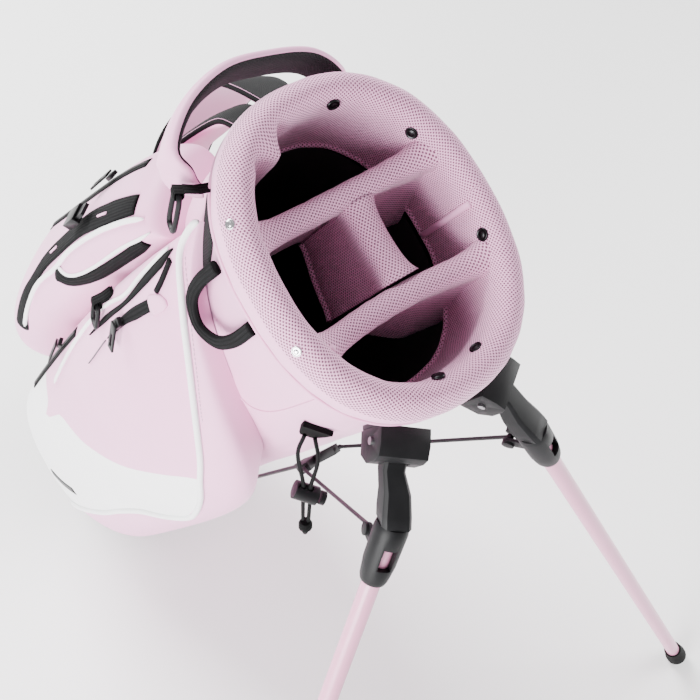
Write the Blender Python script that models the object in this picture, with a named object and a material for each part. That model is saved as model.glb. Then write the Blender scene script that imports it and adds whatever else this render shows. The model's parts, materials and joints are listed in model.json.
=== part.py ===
"""Golf stand bag, standing on its opened legs. Metres, +Z up.

Everything is modelled upright in the bag's own frame: +Z runs up the bag's axis,
-Y is the leg side and -X is the side of the big pocket. One empty then leans it.
"""
import math

import bmesh
import bpy
from mathutils import Matrix, Vector

# --- how the bag stands ---
LEAN = math.radians(32.16)          # bag axis from vertical
GAP = 0.0004                        # clearance between pieces that touch

# --- tube of the bag: half widths across (x) and deep (y) ---
TOP_A, TOP_B = 0.108, 0.132         # outside of the collar
BOT_A, BOT_B = 0.101, 0.119         # the same outline at the base
ROUNDNESS = 2.3                     # superellipse exponent
COLLAR_Z = 0.862                    # top edge of the shell, underside of the collar
BODY_INSET = 0.005
BODY_WALL = 0.003
LINER_INSET = 0.0177
LINER_WALL = 0.0015
FLOOR_Z = 0.0624                    # underside of shell, liner and stays
SEGMENTS = 48
HALF_SEGMENTS = 24
SEAM_HALF_ANGLE = math.radians(0.12)

# --- collar and dividers ---
RIM_TOP = 0.0375                    # height of the padded roll over the shell edge
RIM_INNER = 0.052                   # how far the inner padding hangs below the edge
DIVIDER_DEPTH = 0.088
DIVIDER_THICK = 0.017
BAR_Y = 0.043                       # upper and lower cross bars, off the middle
STAY_R = 0.003

# --- base ---
CUP_TOP = 0.108
CUP_WALL = 0.0033
FOOT_THICK = 0.010
PIN_Y = -0.055
PIN_R = 0.0025
BASE_PIN = Vector((0, PIN_Y, FOOT_THICK / 2))   # the bag leans about this pin
HEEL_Y = 0.112
TOE_Y = -0.136
TOE_HALF = 0.009
WEDGE_Y = -0.045
WEDGE_SLOPE = math.radians(33.0)

# --- legs ---
FOLD = math.radians(47.86)
HINGE = Vector((0.048, -0.136, COLLAR_Z - 0.020))
LEG_DIR = Vector((0.427, -0.606, -0.671)).normalized()
LEG_ROOT = Vector((0.042, -0.144, COLLAR_Z + 0.006))   # a point on the tube's own line
TUBE_R = 0.008
TUBE_BORE = 0.0084
CLAMP_START, CLAMP_END = 0.072, 0.127
CLAMP_R = 0.0135
ARM_HALF = 0.0098
BARREL_R = 0.009
HINGE_PIN_R = 0.003
BOOT_TIP_R = 0.0095
BOOT_LIFT = 0.0003                  # how far the boot edge stands off the ground plane
BOOT_R = 0.0125
BOOT_LENGTH = 0.030
KNOB_T, KNOB_OFF, KNOB_R = 0.099, 0.0262, 0.0055
KNOB_HALF = 0.0086
EAR_HALF = 0.0062                   # two ears take the wire's end between them
EAR_SLOT_HALF = 0.0034

# --- leg linkage ---
TIP = Vector((0.022, -0.138, COLLAR_Z - 0.287))   # ball end of each wire at the yoke
ROD_FOOT = Vector((0.0, -0.124, 0.0556))
WIRE_R = 0.0018
ROD_R = 0.0022
YOKE_THICK = 0.009
YOKE_BASE = COLLAR_Z - 0.347

# --- small fittings ---
RING_WIRE = 0.0022
WEBBING = 0.0014
CORD_R = 0.00175


def clear_scene():
    for item in list(bpy.data.objects):
        bpy.data.objects.remove(item, do_unlink=True)


def finish(name, colour, roughness, metallic=0.0):
    material = bpy.data.materials.get(name)
    if material:
        return material
    material = bpy.data.materials.new(name)
    material.use_nodes = True
    shader = material.node_tree.nodes["Principled BSDF"]
    shader.inputs["Base Color"].default_value = (*colour, 1.0)
    shader.inputs["Roughness"].default_value = roughness
    shader.inputs["Metallic"].default_value = metallic
    return material


def coated_fabric():
    return finish("pale_coated_fabric", (0.78, 0.62, 0.72), 0.55)


def spacer_mesh():
    return finish("pale_spacer_mesh", (0.80, 0.60, 0.71), 0.85)


def black_fabric():
    return finish("black_lining", (0.012, 0.012, 0.013), 0.8)


def black_plastic():
    return finish("black_moulding", (0.022, 0.022, 0.024), 0.5)


def black_webbing():
    return finish("black_webbing", (0.018, 0.018, 0.020), 0.75)


def pale_tube():
    return finish("pale_lacquer", (0.76, 0.57, 0.68), 0.35)


def black_rubber():
    return finish("black_rubber", (0.015, 0.015, 0.015), 0.85)


def bright_steel():
    return finish("steel", (0.55, 0.55, 0.56), 0.3, 1.0)


def add_mesh(name, bm, material, parent, smooth=True):
    bmesh.ops.remove_doubles(bm, verts=bm.verts, dist=1e-6)
    bmesh.ops.recalc_face_normals(bm, faces=bm.faces)
    mesh = bpy.data.meshes.new(name)
    bm.to_mesh(mesh)
    bm.free()
    if smooth:
        mesh.shade_smooth()
        mesh.set_sharp_from_angle(angle=math.radians(35))
    mesh.materials.append(material)
    item = bpy.data.objects.new(name, mesh)
    bpy.context.collection.objects.link(item)
    item.parent = parent
    return item


def bridge(bm, rings, loop=False, caps=True):
    """Join rings of points into one closed skin."""
    rows = [[bm.verts.new(p) for p in ring] for ring in rings]
    pairs = list(zip(rows, rows[1:]))
    if loop:
        pairs.append((rows[-1], rows[0]))
    for low, high in pairs:
        for i in range(len(low)):
            j = (i + 1) % len(low)
            bm.faces.new((low[i], low[j], high[j], high[i]))
    if caps and not loop:
        bm.faces.new(rows[0][::-1])
        bm.faces.new(rows[-1])


def loft(name, rings, material, parent, loop=False, smooth=True):
    bm = bmesh.new()
    bridge(bm, rings, loop)
    return add_mesh(name, bm, material, parent, smooth)


def half_widths(z):
    share = max(0.0, min(1.0, z / COLLAR_Z))
    return BOT_A + (TOP_A - BOT_A) * share, BOT_B + (TOP_B - BOT_B) * share


def outline_point(angle, z, inset):
    """A point on the bag's outline, inset from the collar's outside."""
    a, b = half_widths(z)
    c, s = math.cos(angle), math.sin(angle)
    power = 2.0 / ROUNDNESS
    x = (a - inset) * math.copysign(abs(c) ** power, c)
    y = (b - inset) * math.copysign(abs(s) ** power, s)
    return Vector((x, y, z))


def outline_normal(angle, z):
    a, b = half_widths(z)
    p = outline_point(angle, z, 0.0)
    power = ROUNDNESS - 1.0
    nx = math.copysign((abs(p.x) / a) ** power / a, p.x)
    ny = math.copysign((abs(p.y) / b) ** power / b, p.y)
    return Vector((nx, ny, 0.0)).normalized()


def ring(z, inset, count=SEGMENTS):
    return [outline_point(2 * math.pi * (i + 0.5) / count, z, inset) for i in range(count)]


def heights(low, high, count):
    return [low + (high - low) * i / count for i in range(count + 1)]


def tube_rings(path, radii, count=12, up=Vector((0, 0, 1)), closed=False):
    """Round rings across a path of points."""
    rings = []
    last = len(path) - 1
    side = None
    for i, point in enumerate(path):
        before = path[(i - 1) % len(path)] if (closed or i > 0) else point
        after = path[(i + 1) % len(path)] if (closed or i < last) else point
        along = (after - before).normalized()
        if side is None:
            side = along.cross(up if abs(along.dot(up)) < 0.95 else Vector((1, 0, 0))).normalized()
        side = (side - along * side.dot(along)).normalized()
        over = along.cross(side)
        radius = radii[i] if isinstance(radii, (list, tuple)) else radii
        rings.append([point + radius * (math.cos(t) * side + math.sin(t) * over)
                      for t in (2 * math.pi * k / count for k in range(count))])
    return rings


def ribbon_rings(path, wide, width, thick, closed=False):
    """Flat rectangular rings across a path; wide is a vector or one vector per point."""
    rings = []
    last = len(path) - 1
    for i, point in enumerate(path):
        before = path[(i - 1) % len(path)] if (closed or i > 0) else point
        after = path[(i + 1) % len(path)] if (closed or i < last) else point
        along = (after - before).normalized()
        across = wide[i] if isinstance(wide, list) else wide
        across = (across - along * across.dot(along)).normalized()
        up = along.cross(across)
        w = (width[i] if isinstance(width, list) else width) / 2
        t = (thick[i] if isinstance(thick, list) else thick) / 2
        corners = ((-w, -t), (w, -t), (w, t), (-w, t))
        rings.append([point + u * across + v * up for u, v in corners])
    return rings


def smooth_path(points, steps=6):
    """A rounded path through a few hand-chosen points."""
    path = []
    padded = [points[0] * 2 - points[1]] + list(points) + [points[-1] * 2 - points[-2]]
    for a, b, c, d in zip(padded, padded[1:], padded[2:], padded[3:]):
        for k in range(steps):
            t = k / steps
            path.append(0.5 * (2 * b + (c - a) * t + (2 * a - 5 * b + 4 * c - d) * t * t
                               + (3 * b - a - 3 * c + d) * t ** 3))
    path.append(Vector(points[-1]))
    return path


def box_mesh(bm, centre, size, axes=None):
    frame = axes if axes else Matrix.Identity(3)
    place = Matrix.Translation(centre) @ frame.to_4x4() @ Matrix.Diagonal((*size, 1.0))
    bmesh.ops.create_cube(bm, size=1.0, matrix=place)


def rod_mesh(bm, start, end, radius, count=24):
    along = end - start
    turn = along.to_track_quat("Z", "Y").to_matrix().to_4x4()
    place = Matrix.Translation((start + end) / 2) @ turn
    bmesh.ops.create_cone(bm, cap_ends=True, segments=count, radius1=radius, radius2=radius,
                          depth=along.length, matrix=place)


def hidden(name, build, parent):
    """A boolean operand that isn't part of the bag."""
    bm = bmesh.new()
    build(bm)
    item = add_mesh(name, bm, black_plastic(), parent, smooth=False)
    item.hide_render = True
    item.display_type = "WIRE"
    return item


def combine(target, tools):
    """Add or cut hidden solids, in order, then drop them."""
    bpy.context.view_layer.update()
    for operation, tool in tools:
        modifier = target.modifiers.new(tool.name, "BOOLEAN")
        modifier.operation = operation
        modifier.solver = "EXACT"
        modifier.object = tool
    bpy.context.view_layer.update()
    graph = bpy.context.evaluated_depsgraph_get()
    mesh = bpy.data.meshes.new_from_object(target.evaluated_get(graph))
    target.modifiers.clear()
    target.data = mesh
    mesh.shade_smooth()
    mesh.set_sharp_from_angle(angle=math.radians(35))
    for _, tool in tools:
        bpy.data.objects.remove(tool, do_unlink=True)


def set_origin(item, point):
    """Put an object's own origin on its joint without moving its mesh."""
    item.data.transform(Matrix.Translation(-point))
    item.location = point


# ---------------------------------------------------------------- tube of the bag

def half_tube(name, levels, outside, wall, middle, material, parent):
    """Half of the bag's tube, sewn to its other half along the spine and the leg side."""
    reach = math.pi / 2 - SEAM_HALF_ANGLE
    turns = [middle - reach + 2 * reach * i / HALF_SEGMENTS for i in range(HALF_SEGMENTS + 1)]
    rings = [[outline_point(t, z, outside) for t in turns]
             + [outline_point(t, z, outside + wall) for t in reversed(turns)] for z in levels]
    loft(name, rings, material, parent)


def build_shell(parent):
    levels = heights(FLOOR_Z, COLLAR_Z - GAP, 4)
    for side, middle in (("left", math.pi), ("right", 0.0)):
        half_tube("body_shell_" + side, levels, BODY_INSET, BODY_WALL, middle, coated_fabric(), parent)


def build_liner(parent):
    levels = heights(FLOOR_Z + GAP, COLLAR_Z - RIM_INNER - GAP, 2)
    for side, middle in (("left", math.pi), ("right", 0.0)):
        half_tube("inner_liner_" + side, levels, LINER_INSET, LINER_WALL, middle, black_fabric(), parent)


def build_stays(parent):
    middle = (BODY_INSET + BODY_WALL + LINER_INSET) / 2
    top = COLLAR_Z - 0.042 - GAP
    for name, degrees in (("stay_left", 187), ("stay_right", -7), ("stay_spine", 90)):
        angle = math.radians(degrees)
        path = [outline_point(angle, z, middle) for z in (FLOOR_Z + GAP, top)]
        loft(name, tube_rings(path, STAY_R), black_plastic(), parent)


def build_collar_frame(parent):
    outside = BODY_INSET + BODY_WALL + GAP
    inside = LINER_INSET - GAP
    top = COLLAR_Z + 0.012
    low = COLLAR_Z - 0.042
    profile = [(outside, low), (outside, top), (inside, top), (inside, low)]
    loft("collar_frame", [ring(z, d) for d, z in profile], black_plastic(), parent, loop=True)


def build_rim_pad(parent):
    outside = BODY_INSET + BODY_WALL - 0.0004
    inside = LINER_INSET
    low = COLLAR_Z - RIM_INNER
    top = COLLAR_Z + RIM_TOP
    roof = COLLAR_Z + 0.0125
    profile = [(0.0, COLLAR_Z), (0.0, top - 0.017), (0.003, top - 0.0065), (0.009, top - 0.0008),
               (0.0155, top), (0.0215, top - 0.004), (0.0255, top - 0.012),
               (0.0268, top - 0.028), (0.0268, low), (inside, low), (inside, roof),
               (outside, roof), (outside, COLLAR_Z)]
    loft("rim_pad", [ring(z, d) for d, z in profile], spacer_mesh(), parent, loop=True)


def inner_reach(y, z, inset):
    """Half width of the bag's inside at a depth y."""
    a, b = half_widths(z)
    share = min(0.999, abs(y) / (b - inset))
    return (a - inset) * (1 - share ** ROUNDNESS) ** (1 / ROUNDNESS)


def build_cross_bar(name, y_mid, sag, parent):
    """A padded web across the mouth, with a thick rounded top edge."""
    inset = 0.0268 + 0.0006
    top = COLLAR_Z + 0.018
    count = 14
    rings = []
    for i in range(count + 1):
        share = -1 + 2 * i / count
        y = y_mid + sag * (1 - share * share)
        reach = inner_reach(abs(y) + DIVIDER_THICK * 0.55, top, inset)
        x = reach * share
        half = DIVIDER_THICK / 2
        low = COLLAR_Z - RIM_INNER - DIVIDER_DEPTH * (0.35 if i in (0, count) else 0.42)
        rings.append([Vector((x, y + half, top - 0.010)), Vector((x, y + half * 0.7, top - 0.003)),
                      Vector((x, y, top)), Vector((x, y - half * 0.7, top - 0.003)),
                      Vector((x, y - half, top - 0.010)), Vector((x, y - half, top - 0.024)),
                      Vector((x, y - 0.005, top - 0.040)), Vector((x, y - 0.005, low)),
                      Vector((x, y + 0.005, low)), Vector((x, y + 0.005, top - 0.040)),
                      Vector((x, y + half, top - 0.024))])
    loft(name, rings, spacer_mesh(), parent)


def build_centre_divider(parent):
    """The saddle web that joins the two cross bars."""
    top = COLLAR_Z + 0.004
    low = COLLAR_Z - RIM_INNER - DIVIDER_DEPTH * 0.42
    start = -BAR_Y + DIVIDER_THICK / 2 + 0.0066 + GAP
    end = BAR_Y - DIVIDER_THICK / 2 - GAP
    rings = []
    count = 8
    for i in range(count + 1):
        share = i / count
        y = start + (end - start) * share
        half = 0.010 + 0.008 * (2 * share - 1) ** 2
        crest = top - 0.012 * math.sin(math.pi * share)
        rings.append([Vector((x * half + 0.010, y, crest + dz)) for x, dz in
                      ((1, -0.012), (0.7, -0.003), (0, 0.0), (-0.7, -0.003), (-1, -0.012))]
                     + [Vector((0.004, y, low)), Vector((0.016, y, low))])
    loft("centre_divider", rings, spacer_mesh(), parent)


# ---------------------------------------------------------------- base

def build_base_cup(parent):
    outside = BODY_INSET - GAP - CUP_WALL
    low = FOOT_THICK + 0.0005
    cup = loft("base_cup", [ring(z, outside) for z in (low, CUP_TOP)], black_plastic(), parent)
    inside = BODY_INSET - GAP
    well = hidden("well", lambda bm: bridge(bm, [ring(FLOOR_Z - GAP, inside), ring(0.2, inside)]),
                  parent)
    under = hidden("under", lambda bm: bridge(bm, [ring(-0.02, outside + 0.004),
                                                   ring(FLOOR_Z - GAP - 0.004, outside + 0.004)]),
                   parent)

    def wedge_shape(bm):
        turn = Matrix.Rotation(-WEDGE_SLOPE, 3, "X")
        size = Vector((0.4, 0.2, 0.1))
        centre = Vector((0, WEDGE_Y, low)) + turn @ Vector((0, -size.y / 2, -size.z / 2))
        box_mesh(bm, centre, size, turn)

    def lug_shape(bm):
        floor = FLOOR_Z - GAP - 0.002
        box_mesh(bm, Vector((0, PIN_Y, (floor + FOOT_THICK / 2) / 2)),
                 (0.012, 0.008, floor - FOOT_THICK / 2))

    def lug_eye(bm):
        rod_mesh(bm, Vector((-0.0062, PIN_Y, FOOT_THICK / 2)), Vector((0.0062, PIN_Y, FOOT_THICK / 2)),
                 0.0046)

    def bore(bm):
        rod_mesh(bm, Vector((-0.1, PIN_Y, FOOT_THICK / 2)), Vector((0.1, PIN_Y, FOOT_THICK / 2)),
                 PIN_R + 0.0003)

    combine(cup, [("DIFFERENCE", well), ("DIFFERENCE", under),
                  ("DIFFERENCE", hidden("wedge", wedge_shape, parent)),
                  ("UNION", hidden("lug", lug_shape, parent)),
                  ("UNION", hidden("eye", lug_eye, parent)),
                  ("DIFFERENCE", hidden("bore", bore, parent))])


def build_base_foot(parent):
    """The flat shoe the bag stands on; it is modelled folded, then turned open."""
    hinge = Vector((0, PIN_Y, FOOT_THICK / 2))
    outside = BODY_INSET - GAP - CUP_WALL
    edge = [p for p in ring(0.0, outside + 0.002)]
    rings = [[Vector((p.x, p.y * (HEEL_Y / (BOT_B - outside)), z)) for p in edge]
             for z in (0.0, FOOT_THICK)]
    foot = loft("base_foot", rings, black_rubber(), parent)

    def toe(bm):
        box_mesh(bm, Vector((0, (TOE_Y - 0.05) / 2, FOOT_THICK / 2)),
                 (TOE_HALF * 2, abs(TOE_Y) - 0.05, FOOT_THICK))

    def slot(bm):
        box_mesh(bm, hinge, (0.0134, 0.019, 0.05))

    def bore(bm):
        rod_mesh(bm, hinge - Vector((0.042, 0, 0)), hinge + Vector((0.042, 0, 0)), PIN_R + 0.0004)

    combine(foot, [("UNION", hidden("toe", toe, parent)),
                   ("DIFFERENCE", hidden("slot", slot, parent)),
                   ("DIFFERENCE", hidden("bore", bore, parent))])
    set_origin(foot, hinge)
    foot.data.transform(Matrix.Rotation(-LEAN, 4, "X"))
    bm = bmesh.new()
    rod_mesh(bm, hinge - Vector((0.040, 0, 0)), hinge + Vector((0.040, 0, 0)), PIN_R, 16)
    add_mesh("base_hinge_pin", bm, bright_steel(), parent)


# ---------------------------------------------------------------- pockets

def boxy(share, power):
    return (1 - abs(2 * share - 1) ** power) ** (1 / power)


def pocket_point(pocket, u, v):
    """A point of a pocket's outer skin; u runs round the bag, v up it."""
    angle = math.radians(pocket["from"] + (pocket["to"] - pocket["from"]) * u)
    low, high = pocket["low"](u), pocket["high"](u)
    z = low + (high - low) * v
    out = pocket["edge"] + pocket["depth"](z, u) * boxy(u, pocket["power"]) * boxy(v, pocket["power"])
    return outline_point(angle, z, BODY_INSET) + outline_normal(angle, z) * out


def build_pocket(name, pocket, parent):
    columns, rows = pocket["grid"]
    bm = bmesh.new()
    shares = [0.5 - 0.5 * math.cos(math.pi * i / columns) for i in range(columns + 1)]
    levels = [0.5 - 0.5 * math.cos(math.pi * i / rows) for i in range(rows + 1)]
    skins = []
    for side in ("inner", "outer"):
        grid = []
        for v in levels:
            line = []
            for u in shares:
                if side == "outer":
                    p = pocket_point(pocket, u, v)
                else:
                    angle = math.radians(pocket["from"] + (pocket["to"] - pocket["from"]) * u)
                    low, high = pocket["low"](u), pocket["high"](u)
                    z = low + (high - low) * v
                    p = outline_point(angle, z, BODY_INSET) + outline_normal(angle, z) * 0.0009
                line.append(bm.verts.new(p))
            grid.append(line)
        skins.append(grid)
    inner, outer = skins
    for j in range(rows):
        for i in range(columns):
            bm.faces.new((outer[j][i], outer[j][i + 1], outer[j + 1][i + 1], outer[j + 1][i]))
            bm.faces.new((inner[j][i], inner[j + 1][i], inner[j + 1][i + 1], inner[j][i + 1]))
    border = ([(0, i) for i in range(columns)] + [(j, columns) for j in range(rows)]
              + [(rows, i) for i in range(columns, 0, -1)] + [(j, 0) for j in range(rows, 0, -1)])
    for (j, i), (k, m) in zip(border, border[1:] + border[:1]):
        bm.faces.new((inner[j][i], inner[k][m], outer[k][m], outer[j][i]))
    add_mesh(name, bm, coated_fabric(), parent)


APPAREL_POCKET = {
    "from": 146, "to": 238, "edge": 0.005, "power": 6, "grid": (20, 26),
    "low": lambda u: 0.118,
    "high": lambda u: COLLAR_Z - 0.027 - 0.17 * u - 0.09 * u ** 8,
    "depth": lambda z, u: 0.057 * (1 - (max(0.0, z - 0.10) / (COLLAR_Z - 0.112)) ** 4.5),
}
BALL_POCKET_TOP = COLLAR_Z - 0.097
BALL_POCKET = {
    "from": 100, "to": 142, "edge": 0.005, "power": 5, "grid": (14, 18),
    "low": lambda u: COLLAR_Z - 0.572,
    "high": lambda u: BALL_POCKET_TOP,
    "depth": lambda z, u: (0.040 + 0.17 * (BALL_POCKET_TOP - z)
                           * (1 - 0.4 * max(0.0, COLLAR_Z - 0.392 - z) / 0.18)),
}
RIGHT_POCKET = {
    "from": -60, "to": 10, "edge": 0.005, "power": 6, "grid": (16, 20),
    "low": lambda u: 0.118,
    "high": lambda u: COLLAR_Z - 0.142 - 0.10 * (1 - u),
    "depth": lambda z, u: 0.050 * (1 - ((z - 0.10) / (COLLAR_Z - 0.142)) ** 3),
}


def build_bottle_sleeve(parent):
    """An open sleeve for a bottle, standing off the skin beside the spine."""
    angle = math.radians(36)
    low, high = COLLAR_Z - 0.512, COLLAR_Z - 0.312
    normal = outline_normal(angle, low)
    side = Vector((0, 0, 1)).cross(normal)
    radius, wall = 0.039, 0.003

    def oval(z, r):
        centre = outline_point(angle, z, BODY_INSET) + normal * (radius + 0.0045)
        return [centre + r * (math.cos(t) * side + math.sin(t) * normal)
                for t in (2 * math.pi * k / 28 for k in range(28))]

    rings = [oval(low, radius), oval(high, radius), oval(high, radius - wall),
             oval(low + wall, radius - wall)]
    loft("bottle_sleeve", rings, coated_fabric(), parent)


# ---------------------------------------------------------------- straps and handles

def build_grab_handle(parent):
    z = COLLAR_Z - 0.004
    points = [Vector(p) for p in ((-0.0868, 0.1042, z - 0.030), (-0.0935, 0.1155, z - 0.010),
                                  (-0.0940, 0.1310, z), (-0.0680, 0.1530, z + 0.004),
                                  (-0.0320, 0.1640, z + 0.006), (0.0060, 0.1600, z + 0.004),
                                  (0.0380, 0.1510, z), (0.0560, 0.1370, z - 0.010),
                                  (0.0620, 0.1240, z - 0.030))]
    path = smooth_path(points, 4)
    loft("grab_handle", ribbon_rings(path, Vector((0, 0, 1)), 0.034, 0.009), coated_fabric(), parent)


def build_cuff_loop(parent):
    """A ribbed webbing loop hanging on the cuff under the collar."""
    x = -0.1085
    points = [Vector((x - out, y, COLLAR_Z - drop))
              for out, y, drop in ((0, 0.041, 0.004), (0.004, 0.041, 0.037), (0.007, 0.034, 0.062),
                                   (0.008, 0.016, 0.0755), (0.007, -0.002, 0.062),
                                   (0.004, -0.009, 0.037), (0, -0.009, 0.004))]
    path = smooth_path(points, 4)
    wide = [Vector((-1.0, 0, 0.25)) for _ in path]
    loft("cuff_webbing_loop", ribbon_rings(path, wide, 0.006, 0.005), black_webbing(), parent)


def build_shoulder_straps(parent):
    """Two padded straps that hang off the spine, and the pad they lie against."""
    for name, degrees, out, lower_lift in (("shoulder_strap_left", 88, 0.052, 1.15),
                                           ("shoulder_strap_right", 70, 0.100, 1.275)):
        angle = math.radians(degrees)
        points = []
        widths = []
        for drop, lift, width in ((0.067, 0.010, 0.026), (0.092, 0.030, 0.032), (0.162, 1.0, 0.058),
                                  (0.262, 1.25, 0.062), (0.382, lower_lift, 0.058),
                                  (0.482, 0.6, 0.034), (0.542, 0.010, 0.024)):
            z = COLLAR_Z - drop
            reach = lift if lift < 0.05 else out * lift * 0.8
            base = outline_point(angle, z, BODY_INSET)
            points.append(base + outline_normal(angle, z) * reach)
            widths.append(width)
        path = smooth_path(points, 4)
        wide = Vector((0, 0, 1)).cross(outline_normal(angle, 0.5))
        spread = [widths[min(i // 4, len(widths) - 1)]
                  + (widths[min(i // 4 + 1, len(widths) - 1)] - widths[min(i // 4, len(widths) - 1)])
                  * (i % 4) / 4 for i in range(len(path))]
        loft(name, ribbon_rings(path, wide, spread, 0.011), coated_fabric(), parent)


def build_ring_tab(name, anchor, out, parent):
    """Webbing folded round the top bar of a ring; both ends are sewn to the bag."""
    down = Vector((0, -math.sin(LEAN), -math.cos(LEAN)))
    down = (down - out * down.dot(out)).normalized()
    bar = out.cross(down)
    reach = RING_WIRE + WEBBING / 2 + 0.0006
    path = []
    for share in (0.0, 0.5):
        path.append(anchor + out * (-reach) - down * (0.014 - 0.014 * share))
    for k in range(9):
        t = math.pi * k / 8
        path.append(anchor + reach * (-math.cos(t) * out + math.sin(t) * down))
    for share in (0.5, 0.0):
        path.append(anchor + out * reach * (0.4 + 0.6 * share) - down * (0.014 - 0.014 * share))
    loft(name, ribbon_rings(path, bar, 0.0065, WEBBING), black_webbing(), parent)
    return down, bar


def build_ring(name, anchor, down, bar, length, parent):
    """A moulded oval ring hanging from its tab."""
    half = 0.0075
    path = []
    for k in range(24):
        t = 2 * math.pi * k / 24
        c, s = math.cos(t), math.sin(t)
        along = (length / 2) * (1 - math.copysign(abs(c) ** 0.4, c))
        across = half * math.copysign(abs(s) ** 0.6, s)
        path.append(anchor + down * along + bar * across)
    item = loft(name, tube_rings(path, RING_WIRE, 8, bar.cross(down), closed=True),
                black_plastic(), parent, loop=True)
    set_origin(item, anchor)


# ---------------------------------------------------------------- legs

def mirrored(v, side):
    return Vector((v.x * side, v.y, v.z))


def leg_axes(side):
    """Hinge axis, tube direction and the direction from tube to bag."""
    along = mirrored(LEG_DIR, side)
    axis = along.cross(Vector((0, 0, -1))).normalized()
    return axis, along, axis.cross(along)


def leg_length():
    """How far down its own line a leg reaches before its boot's edge meets the ground."""
    turn = Matrix.Rotation(LEAN, 3, "X")
    root = turn @ (LEG_ROOT - BASE_PIN) + BASE_PIN
    slope = turn @ LEG_DIR
    edge = BOOT_TIP_R * math.sqrt(1 - slope.z ** 2)
    return (root.z - edge - BOOT_LIFT) / -slope.z


def build_leg_mount(parent):
    """The moulded band under the collar that both leg housings bolt to."""
    rings = []
    start, end, count = math.radians(241), math.radians(299), 16
    low, high = COLLAR_Z - 0.042, COLLAR_Z - 0.0015
    for i in range(count + 1):
        angle = start + (end - start) * i / count
        rings.append([outline_point(angle, z, BODY_INSET) + outline_normal(angle, z) * out
                      for out, z in ((0.0006, low), (0.0045, low), (0.0045, high), (0.0006, high))])
    loft("leg_mount_band", rings, black_plastic(), parent)


def housing_back(side, axis, outward):
    """How far behind the hinge the mounting band's outside lies, along the housing."""
    centre = mirrored(HINGE, side)
    best = 1.0
    for i in range(200):
        angle = math.radians(230 + 80 * i / 199)
        p = outline_point(angle, HINGE.z, BODY_INSET) + outline_normal(angle, HINGE.z) * 0.0045
        if abs((p - centre).dot(axis)) < 0.021:
            best = min(best, -(p - centre).dot(outward))
    return best - GAP


def build_housing(name, side, parent):
    axis, along, _ = leg_axes(side)
    outward = Vector((along.x, along.y, 0.0)).normalized()
    centre = mirrored(HINGE, side)
    back = housing_back(side, axis, outward)
    width = 0.020
    profile = [(-back, -0.021), (-back, 0.0180), (0.003, 0.0180), (0.013, 0.0145),
               (0.0155, 0.006), (0.0155, -0.010), (0.008, -0.021)]
    rings = [[centre + axis * across + outward * u + Vector((0, 0, w)) for u, w in profile]
             for across in (-width, width)]
    housing = loft(name, rings, black_plastic(), parent, smooth=False)
    slot_half = ARM_HALF + 0.0006
    arm_dir = (mirrored(LEG_ROOT, side) + along * CLAMP_START - centre).normalized()
    start = math.atan2(arm_dir.z, arm_dir.dot(outward))
    clear = BARREL_R + 0.0009

    def swept(bm):
        """The space that the arm sweeps between open and folded."""
        flat = [(0.06 * math.cos(start) - clear * math.sin(start),
                 0.06 * math.sin(start) + clear * math.cos(start))]
        for k in range(7):
            t = start - FOLD * k / 6
            flat.append((0.06 * math.cos(t), 0.06 * math.sin(t)))
        end = start - FOLD
        flat.append((0.06 * math.cos(end) + clear * math.sin(end),
                     0.06 * math.sin(end) - clear * math.cos(end)))
        for k in range(17):
            t = end - math.pi / 2 - (math.pi - FOLD) * k / 16
            flat.append((clear * math.cos(t), clear * math.sin(t)))
        bridge(bm, [[centre + axis * across + outward * u + Vector((0, 0, w)) for u, w in flat]
                    for across in (-slot_half, slot_half)])

    tools = [("DIFFERENCE", hidden("swept", swept, parent))]

    def bore(bm):
        rod_mesh(bm, centre - axis * 0.05, centre + axis * 0.05, HINGE_PIN_R + 0.0003, 20)

    tools.append(("DIFFERENCE", hidden("bore", bore, parent)))
    combine(housing, tools)
    bm = bmesh.new()
    rod_mesh(bm, centre - axis * (width + 0.0018), centre + axis * (width + 0.0018), HINGE_PIN_R, 20)
    add_mesh(name.replace("housing", "hinge_pin"), bm, bright_steel(), parent)


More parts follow.
